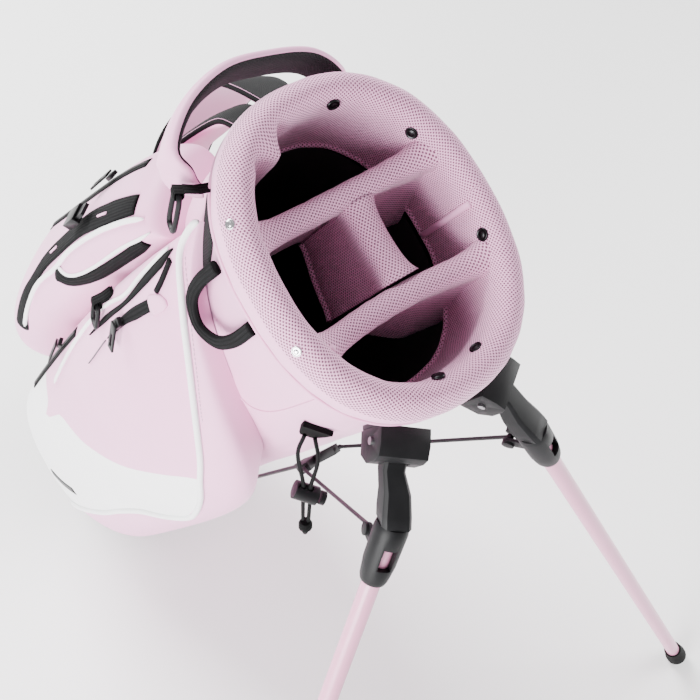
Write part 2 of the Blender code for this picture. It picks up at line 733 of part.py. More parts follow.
def build_leg(prefix, side, parent):
    """Arm, clamp, tube and rubber boot, which swing together on the hinge."""
    axis, along, inward = leg_axes(side)
    centre = mirrored(HINGE, side)
    root = mirrored(LEG_ROOT, side)
    end = root + along * (CLAMP_START - 0.0006)
    arm_dir = (root + along * CLAMP_START - centre).normalized()

    bend = centre + (arm_dir - axis * arm_dir.dot(axis)).normalized() * 0.020
    rings = []
    slim = ARM_HALF - 0.0006
    for share, half_wide, half_deep, lean in ((0.0, slim, 0.0080, 0.0), (0.30, slim, 0.0080, 0.0),
                                              (0.6, 0.0112, 0.0096, 0.4), (0.85, 0.0122, 0.0112, 0.8),
                                              (1.0, 0.0122, 0.0118, 1.0)):
        point = bend if share < 0.5 and share > 0 else centre.lerp(end, share)
        forward = arm_dir.lerp(along, lean).normalized()
        deep = axis.cross(forward).normalized()
        corners = ((-1, -0.7), (-0.75, -1), (0.75, -1), (1, -0.7), (1, 0.7), (0.75, 1), (-0.75, 1), (-1, 0.7))
        rings.append([point + axis * half_wide * u + deep * half_deep * v for u, v in corners])
    arm = loft(prefix + "_leg_arm", rings, black_plastic(), parent, smooth=False)

    def barrel(bm):
        rod_mesh(bm, centre - axis * ARM_HALF, centre + axis * ARM_HALF, BARREL_R, 32)

    def bore(bm):
        rod_mesh(bm, centre - axis * 0.05, centre + axis * 0.05, HINGE_PIN_R + 0.0003, 20)

    combine(arm, [("UNION", hidden("barrel", barrel, parent)), ("DIFFERENCE", hidden("bore", bore, parent))])
    set_origin(arm, centre)

    spots = ((CLAMP_START, 0.0132), (CLAMP_START + 0.006, CLAMP_R + 0.0006), (CLAMP_END - 0.018, CLAMP_R),
             (CLAMP_END - 0.004, 0.0118), (CLAMP_END, 0.0105))
    path = [root + along * t for t, _ in spots]
    clamp = loft(prefix + "_leg_clamp", tube_rings(path, [r for _, r in spots], 24, axis), black_plastic(),
                 parent)
    knob_at = root + along * KNOB_T + inward * KNOB_OFF

    def lug(bm):
        middle = root + along * KNOB_T + inward * (0.009 + KNOB_OFF) / 2
        axes = Matrix((axis, along, inward)).transposed()
        box_mesh(bm, middle, (EAR_HALF * 2, 0.0120, KNOB_OFF - 0.009), axes)

    def knob(bm):
        rod_mesh(bm, knob_at - axis * KNOB_HALF, knob_at + axis * KNOB_HALF, KNOB_R, 20)

    def ear_slot(bm):
        axes = Matrix((axis, along, inward)).transposed()
        box_mesh(bm, root + along * KNOB_T + inward * (CLAMP_R + 0.0005 + 0.02),
                 (EAR_SLOT_HALF * 2, 0.06, 0.04), axes)

    def sleeve(bm):
        rod_mesh(bm, root + along * (CLAMP_START + 0.005), root + along * 0.3, TUBE_BORE, 24)

    def window(bm):
        middle = root + along * (CLAMP_START + 0.028) - inward * 0.012
        axes = Matrix((axis, along, inward)).transposed()
        box_mesh(bm, middle, (0.011, 0.020, 0.016), axes)

    combine(clamp, [("UNION", hidden("lug", lug, parent)), ("UNION", hidden("knob", knob, parent)),
                    ("DIFFERENCE", hidden("ear_slot", ear_slot, parent)),
                    ("DIFFERENCE", hidden("sleeve", sleeve, parent)),
                    ("DIFFERENCE", hidden("window", window, parent))])
    set_origin(clamp, centre)

    length = leg_length()
    boot_start = length - BOOT_LENGTH
    tube = loft(prefix + "_leg_tube", tube_rings([root + along * (CLAMP_START + 0.0056),
                                                  root + along * (length - 0.012)], TUBE_R, 20, axis),
                pale_tube(), parent)
    set_origin(tube, centre)
    spots = ((length - 0.0116, TUBE_BORE), (boot_start, TUBE_BORE), (boot_start, 0.0104),
             (length - 0.018, 0.0112), (length - 0.010, BOOT_R),
             (length - 0.003, BOOT_R), (length, BOOT_TIP_R))
    rings = []
    for t, radius in spots:
        point = root + along * t
        rings.append(tube_rings([point, point + along], radius, 20, axis)[0])
    boot = loft(prefix + "_leg_boot", rings, black_rubber(), parent)
    set_origin(boot, centre)


# ---------------------------------------------------------------- leg linkage

def build_yoke(parent):
    """The sliding yoke: the push rod enters below, a wire leaves each arm."""
    y = TIP.y
    tip_gap = 0.0044
    arm_dir = Vector((0.55, 0, 0.83)).normalized()
    tip = Vector((TIP.x, 0, TIP.z)) - arm_dir * tip_gap
    out = Vector((arm_dir.z, 0, -arm_dir.x)) * 0.0052
    half = 0.0065
    outline = [(half, YOKE_BASE), (half, tip.z - 0.030), (tip.x + out.x, tip.z + out.z),
               (tip.x - out.x, tip.z - out.z), (0.0, tip.z - 0.016)]
    left = [(-x, z) for x, z in outline[-2::-1]]
    points = outline + left
    rings = [[Vector((x, y + dy, z)) for x, z in points] for dy in (-YOKE_THICK / 2, YOKE_THICK / 2)]
    yoke = loft("wire_yoke", rings, black_plastic(), parent, smooth=False)
    set_origin(yoke, Vector((0, y, YOKE_BASE)))


def build_push_rod(parent):
    start = Vector((0, TIP.y, YOKE_BASE - GAP))
    rod = loft("push_rod", tube_rings([start, ROD_FOOT], ROD_R, 12, Vector((1, 0, 0))), bright_steel(), parent)
    set_origin(rod, Vector((0, TIP.y, YOKE_BASE)))


def build_rod_guide(parent):
    """A moulded loop on the leg side that keeps the rod close to the bag."""
    z = 0.150
    share = (z - ROD_FOOT.z) / (YOKE_BASE - ROD_FOOT.z)
    y_rod = ROD_FOOT.y + (TIP.y - ROD_FOOT.y) * share
    skin = outline_point(math.radians(270), z, BODY_INSET).y - 0.0006
    half, low = 0.011, 0.009
    rings = [[Vector((-half, skin, z + dz)), Vector((half, skin, z + dz)),
              Vector((half, y_rod - 0.0062, z + dz)), Vector((-half, y_rod - 0.0062, z + dz))]
             for dz in (-low, low)]
    guide = loft("rod_guide", rings, black_plastic(), parent, smooth=False)

    def channel(bm):
        box_mesh(bm, Vector((0, y_rod, z)), (0.0104, 0.0084, 0.05))

    combine(guide, [("DIFFERENCE", hidden("channel", channel, parent))])


def build_wire(name, side, parent):
    """A stiff coated wire from the yoke to the leg clamp, with a ball at the yoke."""
    axis, along, inward = leg_axes(side)
    start = mirrored(TIP, side)
    knob = mirrored(LEG_ROOT, side) + along * KNOB_T + inward * KNOB_OFF
    direction = (knob - start).normalized()
    end = knob
    path = [start + direction * d for d in (-0.0024, -0.0016, 0.0, 0.0016, 0.0030, 0.006)]
    radii = [0.0012, 0.0020, 0.0026, 0.0022, WIRE_R, WIRE_R]
    for d, radius in ((-0.0040, WIRE_R), (-0.0024, 0.0026), (0.0, 0.0029), (0.0024, 0.0022)):
        path.append(end + direction * d)
        radii.append(radius)
    wire = loft(name, tube_rings(path, radii, 12, axis), black_plastic(), parent)
    set_origin(wire, start)


# ---------------------------------------------------------------- bungee and small fittings

def build_bungee(parent):
    """Tab, two hanging strands, cord lock with its button, and the knot that ends them."""
    down = Vector((0, -math.sin(LEAN), -math.cos(LEAN)))
    angle = math.radians(228)
    z = COLLAR_Z - 0.090
    normal = outline_normal(angle, z)
    skin = outline_point(angle, z, BODY_INSET) + normal * 0.0008
    side = Vector((0, 0, 1)).cross(normal)
    tab_half = 0.0022
    centre = skin + normal * (tab_half + 0.0002)
    rings = []
    for d, w in ((-0.016, 0.013), (-0.004, 0.011), (0.004, 0.0085), (0.011, 0.005)):
        point = centre - Vector((0, 0, 1)) * d
        rings.append([point + side * w * u + normal * tab_half * v
                      for u, v in ((-1, -1), (1, -1), (1, 1), (-1, 1))])
    loft("bungee_tab", rings, black_webbing(), parent, smooth=False)
    across = side
    exit_point = centre + normal * (tab_half + CORD_R + 0.0006)
    lock_at = exit_point + down * 0.076 + normal * 0.003
    knot_at = lock_at + down * 0.052
    for name, sign in (("bungee_strand_a", -1), ("bungee_strand_b", 1)):
        points = [exit_point + across * sign * 0.0045,
                  exit_point + across * sign * 0.0090 + down * 0.022 + normal * 0.004,
                  lock_at - down * 0.014 + across * sign * 0.0036,
                  lock_at + across * sign * 0.0030,
                  lock_at + down * 0.014 + across * sign * 0.0031,
                  knot_at - down * 0.0084 + across * sign * 0.0026]
        path = smooth_path(points, 4)
        loft(name, tube_rings(path, CORD_R, 8, normal), black_webbing(), parent)
    rings = tube_rings([lock_at + across * d for d in (-0.0115, 0.0095)], 0.0082, 20, down)
    lock = loft("cord_lock", rings, black_plastic(), parent)

    def passage(bm):
        box_mesh(bm, lock_at, (0.0128, 0.0056, 0.04),
                 Matrix((across, normal, -down)).transposed())

    combine(lock, [("DIFFERENCE", hidden("passage", passage, parent))])
    button = loft("cord_lock_button",
                  tube_rings([lock_at + across * d for d in (0.0121, 0.0165)], 0.0062, 16, down),
                  black_plastic(), parent)
    set_origin(button, lock_at)
    spots = [(-0.0064, 0.0046), (-0.003, 0.0062), (0.002, 0.0062), (0.0055, 0.0040), (0.012, 0.0022)]
    rings = tube_rings([knot_at + down * d for d, _ in spots], [r for _, r in spots], 12, normal)
    loft("bungee_knot", rings, black_webbing(), parent)


def build_zip(name, pocket, u, v, towards, parent):
    """A slider on a pocket's zip and the pull that hangs from it."""
    here = pocket_point(pocket, u, v)
    ahead = pocket_point(pocket, *towards)
    along = (ahead - here).normalized()
    edge = 0.01
    du = pocket_point(pocket, min(u + edge, 1), v) - pocket_point(pocket, u - edge, v)
    dv = pocket_point(pocket, u, min(v + edge, 1)) - pocket_point(pocket, u, v - edge)
    normal = du.cross(dv).normalized()
    if normal.dot(Vector((here.x, here.y, 0))) < 0:
        normal = -normal
    normal = (normal - along * normal.dot(along)).normalized()
    side = normal.cross(along)
    lift = here + normal * 0.0042
    axes = Matrix((along, side, normal)).transposed()
    bm = bmesh.new()
    box_mesh(bm, lift, (0.012, 0.0085, 0.0036), axes)
    slider = add_mesh(name + "_slider", bm, bright_steel(), parent, smooth=False)
    set_origin(slider, lift)
    hinge = lift + normal * 0.0034
    down = Vector((0, -math.sin(LEAN), -math.cos(LEAN)))
    hang = (down - normal * down.dot(normal)).normalized()
    across = normal.cross(hang)
    axes = Matrix((hang, across, normal)).transposed()
    bm = bmesh.new()
    box_mesh(bm, hinge + hang * 0.0150, (0.0300, 0.0095, 0.0020), axes)
    pull = add_mesh(name + "_pull", bm, black_plastic(), parent, smooth=False)

    def slit(bm):
        box_mesh(bm, hinge + hang * 0.0190, (0.0140, 0.0034, 0.01), axes)

    combine(pull, [("DIFFERENCE", hidden("slit", slit, parent))])
    set_origin(pull, hinge)


def build_buckle(parent):
    """Side-release buckle on the strap over the ball pocket."""
    here = pocket_point(BALL_POCKET, 0.60, 0.72)
    ahead = pocket_point(BALL_POCKET, 0.59, 0.80)
    along = (ahead - here).normalized()
    normal = Vector((here.x, here.y, 0.06)).normalized()
    normal = (normal - along * normal.dot(along)).normalized()
    side = normal.cross(along)
    axes = Matrix((along, side, normal)).transposed()
    centre = here + normal * 0.0085
    bm = bmesh.new()
    box_mesh(bm, centre, (0.024, 0.018, 0.0080), axes)
    socket = add_mesh("buckle_socket", bm, black_plastic(), parent, smooth=False)

    def mouth(bm):
        box_mesh(bm, centre + along * 0.006, (0.020, 0.0132, 0.0042), axes)

    combine(socket, [("DIFFERENCE", hidden("mouth", mouth, parent))])
    bm = bmesh.new()
    box_mesh(bm, centre + along * 0.0125, (0.026, 0.0124, 0.0034), axes)
    plug = add_mesh("buckle_plug", bm, black_plastic(), parent, smooth=False)
    set_origin(plug, centre)


def build_all():
    clear_scene()
    frame = bpy.data.objects.new("bag_frame", None)
    bpy.context.collection.objects.link(frame)
    frame.rotation_euler = (LEAN, 0, 0)
    frame.location = BASE_PIN - Matrix.Rotation(LEAN, 3, "X") @ BASE_PIN
    bpy.context.view_layer.update()
    build_shell(frame)
    build_liner(frame)
    build_stays(frame)
    build_collar_frame(frame)
    build_rim_pad(frame)
    build_cross_bar("upper_divider", BAR_Y, 0.0, frame)
    build_cross_bar("lower_divider", -BAR_Y - 0.0066, 0.0066, frame)
    build_centre_divider(frame)
    build_base_cup(frame)
    build_base_foot(frame)
    build_pocket("apparel_pocket", APPAREL_POCKET, frame)
    build_pocket("ball_pocket", BALL_POCKET, frame)
    build_pocket("right_pocket", RIGHT_POCKET, frame)
    build_bottle_sleeve(frame)
    build_grab_handle(frame)
    build_cuff_loop(frame)
    build_shoulder_straps(frame)
    for name, anchor, out, length in (
            ("upper", Vector((-0.1070, 0.1000, COLLAR_Z)), Vector((-0.92, 0.39, 0)).normalized(), 0.033),
            ("middle", Vector((-0.1375, 0.0838, COLLAR_Z - 0.212)), Vector((-0.93, 0.36, 0)).normalized(), 0.025)):
        down, bar = build_ring_tab(name + "_ring_tab", anchor, out, frame)
        build_ring(name + "_ring", anchor, down, bar, length, frame)
    build_leg_mount(frame)
    for prefix, side in (("left", -1), ("right", 1)):
        build_housing(prefix + "_leg_housing", side, frame)
        build_leg(prefix, side, frame)
    build_yoke(frame)
    build_push_rod(frame)
    build_rod_guide(frame)
    build_wire("left_wire", -1, frame)
    build_wire("right_wire", 1, frame)
    build_bungee(frame)
    build_zip("apparel_zip", APPAREL_POCKET, 0.06, 0.52, (0.06, 0.3), frame)
    build_zip("face_zip", APPAREL_POCKET, 0.17, 0.83, (0.17, 0.6), frame)
    build_zip("ball_zip", BALL_POCKET, 0.30, 0.78, (0.30, 0.6), frame)
    build_buckle(frame)


build_all()
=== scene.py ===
import math
import json

import bmesh
import bpy
from mathutils import Matrix, Vector, noise
from mathutils.bvhtree import BVHTree


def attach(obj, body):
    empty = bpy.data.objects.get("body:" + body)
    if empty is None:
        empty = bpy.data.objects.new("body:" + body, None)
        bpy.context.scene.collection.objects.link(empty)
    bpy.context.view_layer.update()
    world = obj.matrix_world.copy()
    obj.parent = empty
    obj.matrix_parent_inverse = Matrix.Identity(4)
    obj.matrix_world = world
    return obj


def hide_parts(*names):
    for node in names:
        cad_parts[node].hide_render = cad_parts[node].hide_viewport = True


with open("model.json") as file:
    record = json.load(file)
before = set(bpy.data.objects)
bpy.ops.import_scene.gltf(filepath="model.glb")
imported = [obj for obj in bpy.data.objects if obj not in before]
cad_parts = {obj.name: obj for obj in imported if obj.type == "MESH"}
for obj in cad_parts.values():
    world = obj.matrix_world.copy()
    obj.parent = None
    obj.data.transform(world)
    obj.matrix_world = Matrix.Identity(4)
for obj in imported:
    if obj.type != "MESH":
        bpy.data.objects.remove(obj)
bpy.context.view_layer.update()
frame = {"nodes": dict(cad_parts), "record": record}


# ======================================================================
# How the bag stands
# The bag leans over its two legs about the pin of its base foot. All the soft
# pieces are cut and sewn upright in the bag's own frame, then leaned as one.
# ======================================================================
record_joints = {joint["name"]: joint for joint in frame["record"]["behaviour"]["joints"]}
slide = Vector(record_joints["yoke_slide"]["axis"])
lean = math.atan2(slide.y, -slide.z)
base_pin = Vector(record_joints["base_foot_rock"]["pos_m"])
upright_pin = Vector((0.0, -0.055, 0.005))
bag_place = (Matrix.Translation(base_pin) @ Matrix.Rotation(lean, 4, "X")
             @ Matrix.Translation(-upright_pin))
down = bag_place.to_3x3().inverted() @ Vector((0, 0, -1))

collar_z = 0.862                 # the seam under the padded roll
top_half = (0.108, 0.132)        # half widths of the collar, across and deep
base_half = (0.101, 0.119)
squareness = 2.3
skin_inset = 0.005               # the outer skin lies this far inside the collar's outline


def outline(turn, z, inset=0.0):
    """A point on the bag's oval outline; turn in degrees, from +X towards +Y."""
    share = max(0.0, min(1.0, z / collar_z))
    a = base_half[0] + (top_half[0] - base_half[0]) * share
    b = base_half[1] + (top_half[1] - base_half[1]) * share
    c, s = math.cos(math.radians(turn)), math.sin(math.radians(turn))
    power = 2.0 / squareness
    return Vector(((a - inset) * math.copysign(abs(c) ** power, c),
                   (b - inset) * math.copysign(abs(s) ** power, s), z))


def outward(turn, z):
    """The direction straight out of the bag's side there."""
    step = outline(turn + 0.5, z) - outline(turn - 0.5, z)
    return Vector((step.y, -step.x, 0)).normalized()


# ======================================================================
# Camera
# It looks down into the mouth from the leg side, a little left of the middle.
# ======================================================================
camera_azimuth = math.radians(-42.2)
camera_height = math.radians(50.52)
camera_roll = math.radians(-4.52)
mouth_middle = bag_place @ Vector((0, 0, 0.89))
camera_from_mouth = Vector((-0.4261, -0.4470, 0.6219))

back = Vector((math.sin(camera_azimuth) * math.cos(camera_height),
               -math.cos(camera_azimuth) * math.cos(camera_height), math.sin(camera_height)))
level = Vector((math.cos(camera_azimuth), math.sin(camera_azimuth), 0))
under = (-back).cross(level)
right = math.cos(camera_roll) * level + math.sin(camera_roll) * under
upward = math.sin(camera_roll) * level - math.cos(camera_roll) * under

camera_data = bpy.data.cameras.new("bag_camera")
camera_data.sensor_width = 36.0
camera_data.lens = 61.71
camera_data.clip_end = 50.0
camera = bpy.data.objects.new("bag_camera", camera_data)
bpy.context.collection.objects.link(camera)
camera.matrix_world = (Matrix.Translation(mouth_middle + camera_from_mouth)
                       @ Matrix((right, upward, back)).transposed().to_4x4())
bpy.context.scene.camera = camera


# ======================================================================
# Bungee cords
# Two limp braided cords hang from a webbing tab under the collar, through a
# sprung cord lock, and end in one knot. They hang free.
# ======================================================================
def new_finish(name, colour, roughness, metallic=0.0):
    """An empty finish: its node tree, links and shader."""
    finish = bpy.data.materials.new(name)
    finish.use_nodes = True
    tree = finish.node_tree
    shader = tree.nodes["Principled BSDF"]
    shader.inputs["Base Color"].default_value = (*colour, 1.0)
    shader.inputs["Roughness"].default_value = roughness
    shader.inputs["Metallic"].default_value = metallic
    return finish, tree, shader


def node(tree, kind, **values):
    """One node with its settings; names with an underscore first are inputs."""
    made = tree.nodes.new(kind)
    for key, value in values.items():
        if key.startswith("_"):
            made.inputs[int(key[1:]) if key[1:].isdigit() else key[1:]].default_value = value
        else:
            setattr(made, key, value)
    return made


def tones(tree, shader, factor, dark, light):
    """Colour that runs between two tones by a factor."""
    mix = node(tree, "ShaderNodeMix", data_type="RGBA")
    mix.inputs[6].default_value = (*dark, 1.0)
    mix.inputs[7].default_value = (*light, 1.0)
    tree.links.new(factor, mix.inputs[0])
    tree.links.new(mix.outputs[2], shader.inputs["Base Color"])
    return mix


def relief(tree, shader, height, strength, distance):
    bump = node(tree, "ShaderNodeBump", _Strength=strength, _Distance=distance)
    tree.links.new(height, bump.inputs["Height"])
    tree.links.new(bump.outputs["Normal"], shader.inputs["Normal"])
    return bump


def braid_finish(name, dark, light, picks, roughness=0.75):
    """Ribbed black webbing or braided cord: ribs along UV in metres, picks per metre."""
    finish, tree, shader = new_finish(name, light, roughness)
    shader.inputs["Specular IOR Level"].default_value = 0.07
    place = node(tree, "ShaderNodeUVMap", uv_map="cloth")
    across = node(tree, "ShaderNodeTexWave", wave_type="BANDS", bands_direction="X",
                  _Scale=picks / 6.2832, _Distortion=0.0)
    along = node(tree, "ShaderNodeTexWave", wave_type="BANDS", bands_direction="Y",
                 _Scale=picks * 1.6 / 6.2832, _Distortion=0.0)
    grain = node(tree, "ShaderNodeTexNoise", _Scale=900.0, _Detail=2.0)
    for wave in (across, along, grain):
        tree.links.new(place.outputs["UV"], wave.inputs["Vector"])
    both = node(tree, "ShaderNodeMath", operation="MULTIPLY_ADD", _1=0.35)
    tree.links.new(along.outputs["Fac"], both.inputs[0])
    tree.links.new(across.outputs["Fac"], both.inputs[2])
    fuzz = node(tree, "ShaderNodeMath", operation="MULTIPLY_ADD", _1=0.4)
    tree.links.new(grain.outputs["Fac"], fuzz.inputs[0])
    tree.links.new(both.outputs[0], fuzz.inputs[2])
    tones(tree, shader, fuzz.outputs[0], dark, light)
    relief(tree, shader, fuzz.outputs[0], 0.5, 0.0006)
    return finish


def smooth(points, steps=6):
    """A rounded line through a few chosen points."""
    line = []
    padded = [points[0] * 2 - points[1]] + list(points) + [points[-1] * 2 - points[-2]]
    for a, b, c, d in zip(padded, padded[1:], padded[2:], padded[3:]):
        for k in range(steps):
            t = k / steps
            line.append(0.5 * (2 * b + (c - a) * t + (2 * a - 5 * b + 4 * c - d) * t * t
                               + (3 * b - a - 3 * c + d) * t ** 3))
    line.append(Vector(points[-1]))
    return line


def sewn(name, rows, finishes, body, closed_rows=False, closed_line=True, ends=True, part=None):
    """A skin through rows of points, with its UV map in metres; part gives each face's finish."""
    mesh = bpy.data.meshes.new(name)
    count = len(rows[0])
    points = [tuple(p) for row in rows for p in row]
    across = [0.0]
    for i in range(count):
        across.append(across[-1] + (Vector(rows[len(rows) // 2][(i + 1) % count])
                                    - Vector(rows[len(rows) // 2][i])).length)
    along = [0.0]
    total = len(rows) + (1 if closed_rows else 0)
    for j in range(1, total):
        along.append(along[-1] + (Vector(rows[j % len(rows)][0]) - Vector(rows[j - 1][0])).length)
    faces = []
    corners = []
    columns = count if closed_line else count - 1
    for j in range(total - 1):
        for i in range(columns):
            k = (i + 1) % count
            top = ((j + 1) % len(rows)) * count
            faces.append((j * count + i, j * count + k, top + k, top + i))
            corners.append(((across[i], along[j]), (across[i + 1], along[j]),
                            (across[i + 1], along[j + 1]), (across[i], along[j + 1])))
    if ends and closed_line and not closed_rows:
        faces.append(tuple(range(count))[::-1])
        corners.append([(0.0, 0.0)] * count)
        faces.append(tuple((len(rows) - 1) * count + i for i in range(count)))
        corners.append([(0.0, 0.0)] * count)
    mesh.from_pydata(points, [], faces)
    layer = mesh.uv_layers.new(name="cloth")
    for loop, uv in zip(layer.data, [corner for face in corners for corner in face]):
        loop.uv = uv
    for finish in finishes:
        mesh.materials.append(finish)
    if part:
        for polygon in mesh.polygons:
            polygon.material_index = part(polygon.index % columns, polygon.index // columns,
                                          polygon.center)
    mesh.shade_smooth()
    work = bmesh.new()
    work.from_mesh(mesh)
    bmesh.ops.recalc_face_normals(work, faces=work.faces)
    work.to_mesh(mesh)
    work.free()
    piece = bpy.data.objects.new(name, mesh)
    bpy.context.collection.objects.link(piece)
    piece.matrix_world = bag_place
    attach(piece, body)
    return piece


def round_rows(path, radius, count=12, wide=None):
    """Round rows across a path; the radius is one number or one per point."""
    rows = []
    last = len(path) - 1
    side = Vector(wide) if wide else None
    for i, point in enumerate(path):
        ahead = (path[min(i + 1, last)] - path[max(i - 1, 0)]).normalized()
        if side is None:
            side = ahead.cross(Vector((0, 0, 1)) if abs(ahead.z) < 0.9 else Vector((1, 0, 0)))
        side = (side - ahead * side.dot(ahead)).normalized()
        over = ahead.cross(side)
        size = radius[i] if isinstance(radius, list) else radius
        rows.append([point + size * (math.cos(t) * side + math.sin(t) * over)
                     for t in (2 * math.pi * k / count for k in range(count))])
    return rows


cord_radius = 0.00175
tab_thick = 0.0022
tab_stands_off = 0.0032
lock_below = 0.076               # the lock under the tab, along the hanging cord
knot_below = 0.052               # the knot under the lock
bungee_turn = 228
bungee_z = collar_z - 0.090
cord_black = braid_finish("braided_cord", (0.0015, 0.0015, 0.0016), (0.009, 0.009, 0.0095), 900, 0.75)

bungee_out = outward(bungee_turn, bungee_z)
bungee_side = Vector((0, 0, 1)).cross(bungee_out)
bungee_exit = (outline(bungee_turn, bungee_z, skin_inset)
               + bungee_out * (tab_stands_off + tab_thick + cord_radius + 0.0004))
lock_place = bungee_exit + down * lock_below + bungee_out * 0.003
knot_place = lock_place + down * knot_below
for cord_name, hand in (("bungee_strand_a", -1), ("bungee_strand_b", 1)):
    route = smooth([bungee_exit + bungee_side * hand * 0.0045,
                    bungee_exit + bungee_side * hand * 0.0090 + down * 0.022 + bungee_out * 0.004,
                    lock_place - down * 0.014 + bungee_side * hand * 0.0036,
                    lock_place + bungee_side * hand * 0.0030,
                    lock_place + down * 0.014 + bungee_side * hand * 0.0031,
                    knot_place - down * 0.0084 + bungee_side * hand * 0.0026], 5)
    strand = sewn("bungee_cord_" + cord_name[-1], round_rows(route, cord_radius, 14),
                  [cord_black], "bag")
    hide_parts(cord_name)


# ======================================================================
# Padded collar
# Air mesh over foam, rolled over the collar frame. A corded hem ends it inside
# the mouth, and one corded seam runs up the inner wall. Snaps hold a rain hood.
# ======================================================================
def air_mesh_finish(name, thread, painted_hole_shade, pitch):
    """Spacer mesh: rows of small oval holes, every other row shifted by half a pitch; the dark hole colour
    is painted shade inside the holes.
    """
    finish, tree, shader = new_finish(name, thread, 0.82)
    shader.inputs["Sheen Weight"].default_value = 0.0 if thread[0] < 0.1 else 0.25
    shader.inputs["Sheen Roughness"].default_value = 0.45
    shader.inputs["Specular IOR Level"].default_value = 0.25
    place = node(tree, "ShaderNodeUVMap", uv_map="cloth")
    holes = []
    for shift in (0.0, 0.5):
        scale = node(tree, "ShaderNodeMapping")
        scale.inputs["Scale"].default_value = (1.0 / pitch, 1.0 / (pitch * 1.35), 1.0)
        scale.inputs["Location"].default_value = (shift, shift, 0.0)
        part = node(tree, "ShaderNodeVectorMath", operation="FRACTION")
        middle = node(tree, "ShaderNodeVectorMath", operation="SUBTRACT")
        middle.inputs[1].default_value = (0.5, 0.5, 0.0)
        flat = node(tree, "ShaderNodeVectorMath", operation="MULTIPLY")
        flat.inputs[1].default_value = (1.0, 1.25, 0.0)
        reach = node(tree, "ShaderNodeVectorMath", operation="LENGTH")
        tree.links.new(place.outputs["UV"], scale.inputs["Vector"])
        tree.links.new(scale.outputs[0], part.inputs[0])
        tree.links.new(part.outputs[0], middle.inputs[0])
        tree.links.new(middle.outputs[0], flat.inputs[0])
        tree.links.new(flat.outputs[0], reach.inputs[0])
        holes.append(reach.outputs["Value"])
    nearest = node(tree, "ShaderNodeMath", operation="MINIMUM")
    tree.links.new(holes[0], nearest.inputs[0])
    tree.links.new(holes[1], nearest.inputs[1])
    rim = node(tree, "ShaderNodeMapRange", interpolation_type="SMOOTHSTEP")
    rim.inputs["From Min"].default_value = 0.15
    rim.inputs["From Max"].default_value = 0.34
    tree.links.new(nearest.outputs[0], rim.inputs["Value"])
    cloud = node(tree, "ShaderNodeTexNoise", _Scale=260.0, _Detail=3.0)
    tree.links.new(place.outputs["UV"], cloud.inputs["Vector"])
    blend = node(tree, "ShaderNodeMath", operation="MULTIPLY_ADD", _1=0.22, _2=-0.08, use_clamp=False)
    tree.links.new(cloud.outputs["Fac"], blend.inputs[0])
    total = node(tree, "ShaderNodeMath", operation="ADD", use_clamp=True)
    tree.links.new(rim.outputs[0], total.inputs[0])
    tree.links.new(blend.outputs[0], total.inputs[1])
    # The holes take the dark colour, which is painted shade inside them where the mesh is cut through.
    tones(tree, shader, total.outputs[0], painted_hole_shade, thread)
    relief(tree, shader, rim.outputs[0], 0.7, 0.0007)
    return finish


# The darker colour given to each mesh is painted shade inside its holes.
pink_mesh = air_mesh_finish("pink_air_mesh", (0.80, 0.39, 0.61), (0.13, 0.035, 0.075), 0.0029)
dark_mesh = air_mesh_finish("black_air_mesh", (0.010, 0.010, 0.011), (0.001, 0.001, 0.001), 0.0026)


def coated_finish(name, dark, light, roughness=0.50, threads=1500.0):
    """Matt coated polyester: a fine grain, a soft broad shade change, faint creases."""
    finish, tree, shader = new_finish(name, light, roughness)
    shader.inputs["Sheen Weight"].default_value = 0.20
    shader.inputs["Sheen Roughness"].default_value = 0.40
    shader.inputs["Specular IOR Level"].default_value = 0.35
    place = node(tree, "ShaderNodeTexCoord")
    grain = node(tree, "ShaderNodeTexNoise", _Scale=threads, _Detail=2.0)
    cloud = node(tree, "ShaderNodeTexNoise", _Scale=11.0, _Detail=3.0)
    crease = node(tree, "ShaderNodeTexNoise", _Scale=38.0, _Detail=4.0, _Roughness=0.55)
    for texture in (grain, cloud, crease):
        tree.links.new(place.outputs["Object"], texture.inputs["Vector"])
    tones(tree, shader, cloud.outputs["Fac"], dark, light)
    gloss = node(tree, "ShaderNodeMapRange")
    gloss.inputs["To Min"].default_value = roughness - 0.06
    gloss.inputs["To Max"].default_value = roughness + 0.08
    tree.links.new(crease.outputs["Fac"], gloss.inputs["Value"])
    tree.links.new(gloss.outputs[0], shader.inputs["Roughness"])
    both = node(tree, "ShaderNodeMath", operation="MULTIPLY_ADD", _1=0.35)
    tree.links.new(grain.outputs["Fac"], both.inputs[0])
    tree.links.new(crease.outputs["Fac"], both.inputs[2])
    relief(tree, shader, both.outputs[0], 0.16, 0.0012)
    return finish


pink_cloth = coated_finish("pink_coated_cloth", (0.75, 0.34, 0.56), (0.82, 0.39, 0.62))
white_piping = coated_finish("white_piping", (0.80, 0.80, 0.81), (0.88, 0.88, 0.89), 0.42)
black_cloth = coated_finish("black_cloth", (0.003, 0.003, 0.0033), (0.007, 0.007, 0.0075), 0.6)
black_webbing = braid_finish("black_webbing", (0.0012, 0.0012, 0.0013), (0.007, 0.007, 0.0075), 620, 0.8)

roll_profile = ((0.0004, 0.0005), (-0.0012, 0.008), (-0.0016, 0.018), (0.0012, 0.028),
                (0.0065, 0.0348), (0.0135, 0.0378), (0.0205, 0.0345), (0.0250, 0.0255),
                (0.0262, 0.012), (0.0258, -0.006), (0.0254, -0.026), (0.0258, -0.045),
                (0.0262, -0.0505), (0.0240, -0.0522), (0.0205, -0.0510), (0.0186, -0.046),
                (0.0182, -0.020), (0.0180, 0.0128), (0.0120, 0.0132), (0.0080, 0.0126),
                (0.0079, 0.0006))
roll_line = smooth([Vector((inset, 0, rise)) for inset, rise in roll_profile], 3)
tuck_folds = ((116, 0.0120, 6.5), (128, -0.0050, 3.0), (104, -0.0040, 3.0))   # turn, depth, width


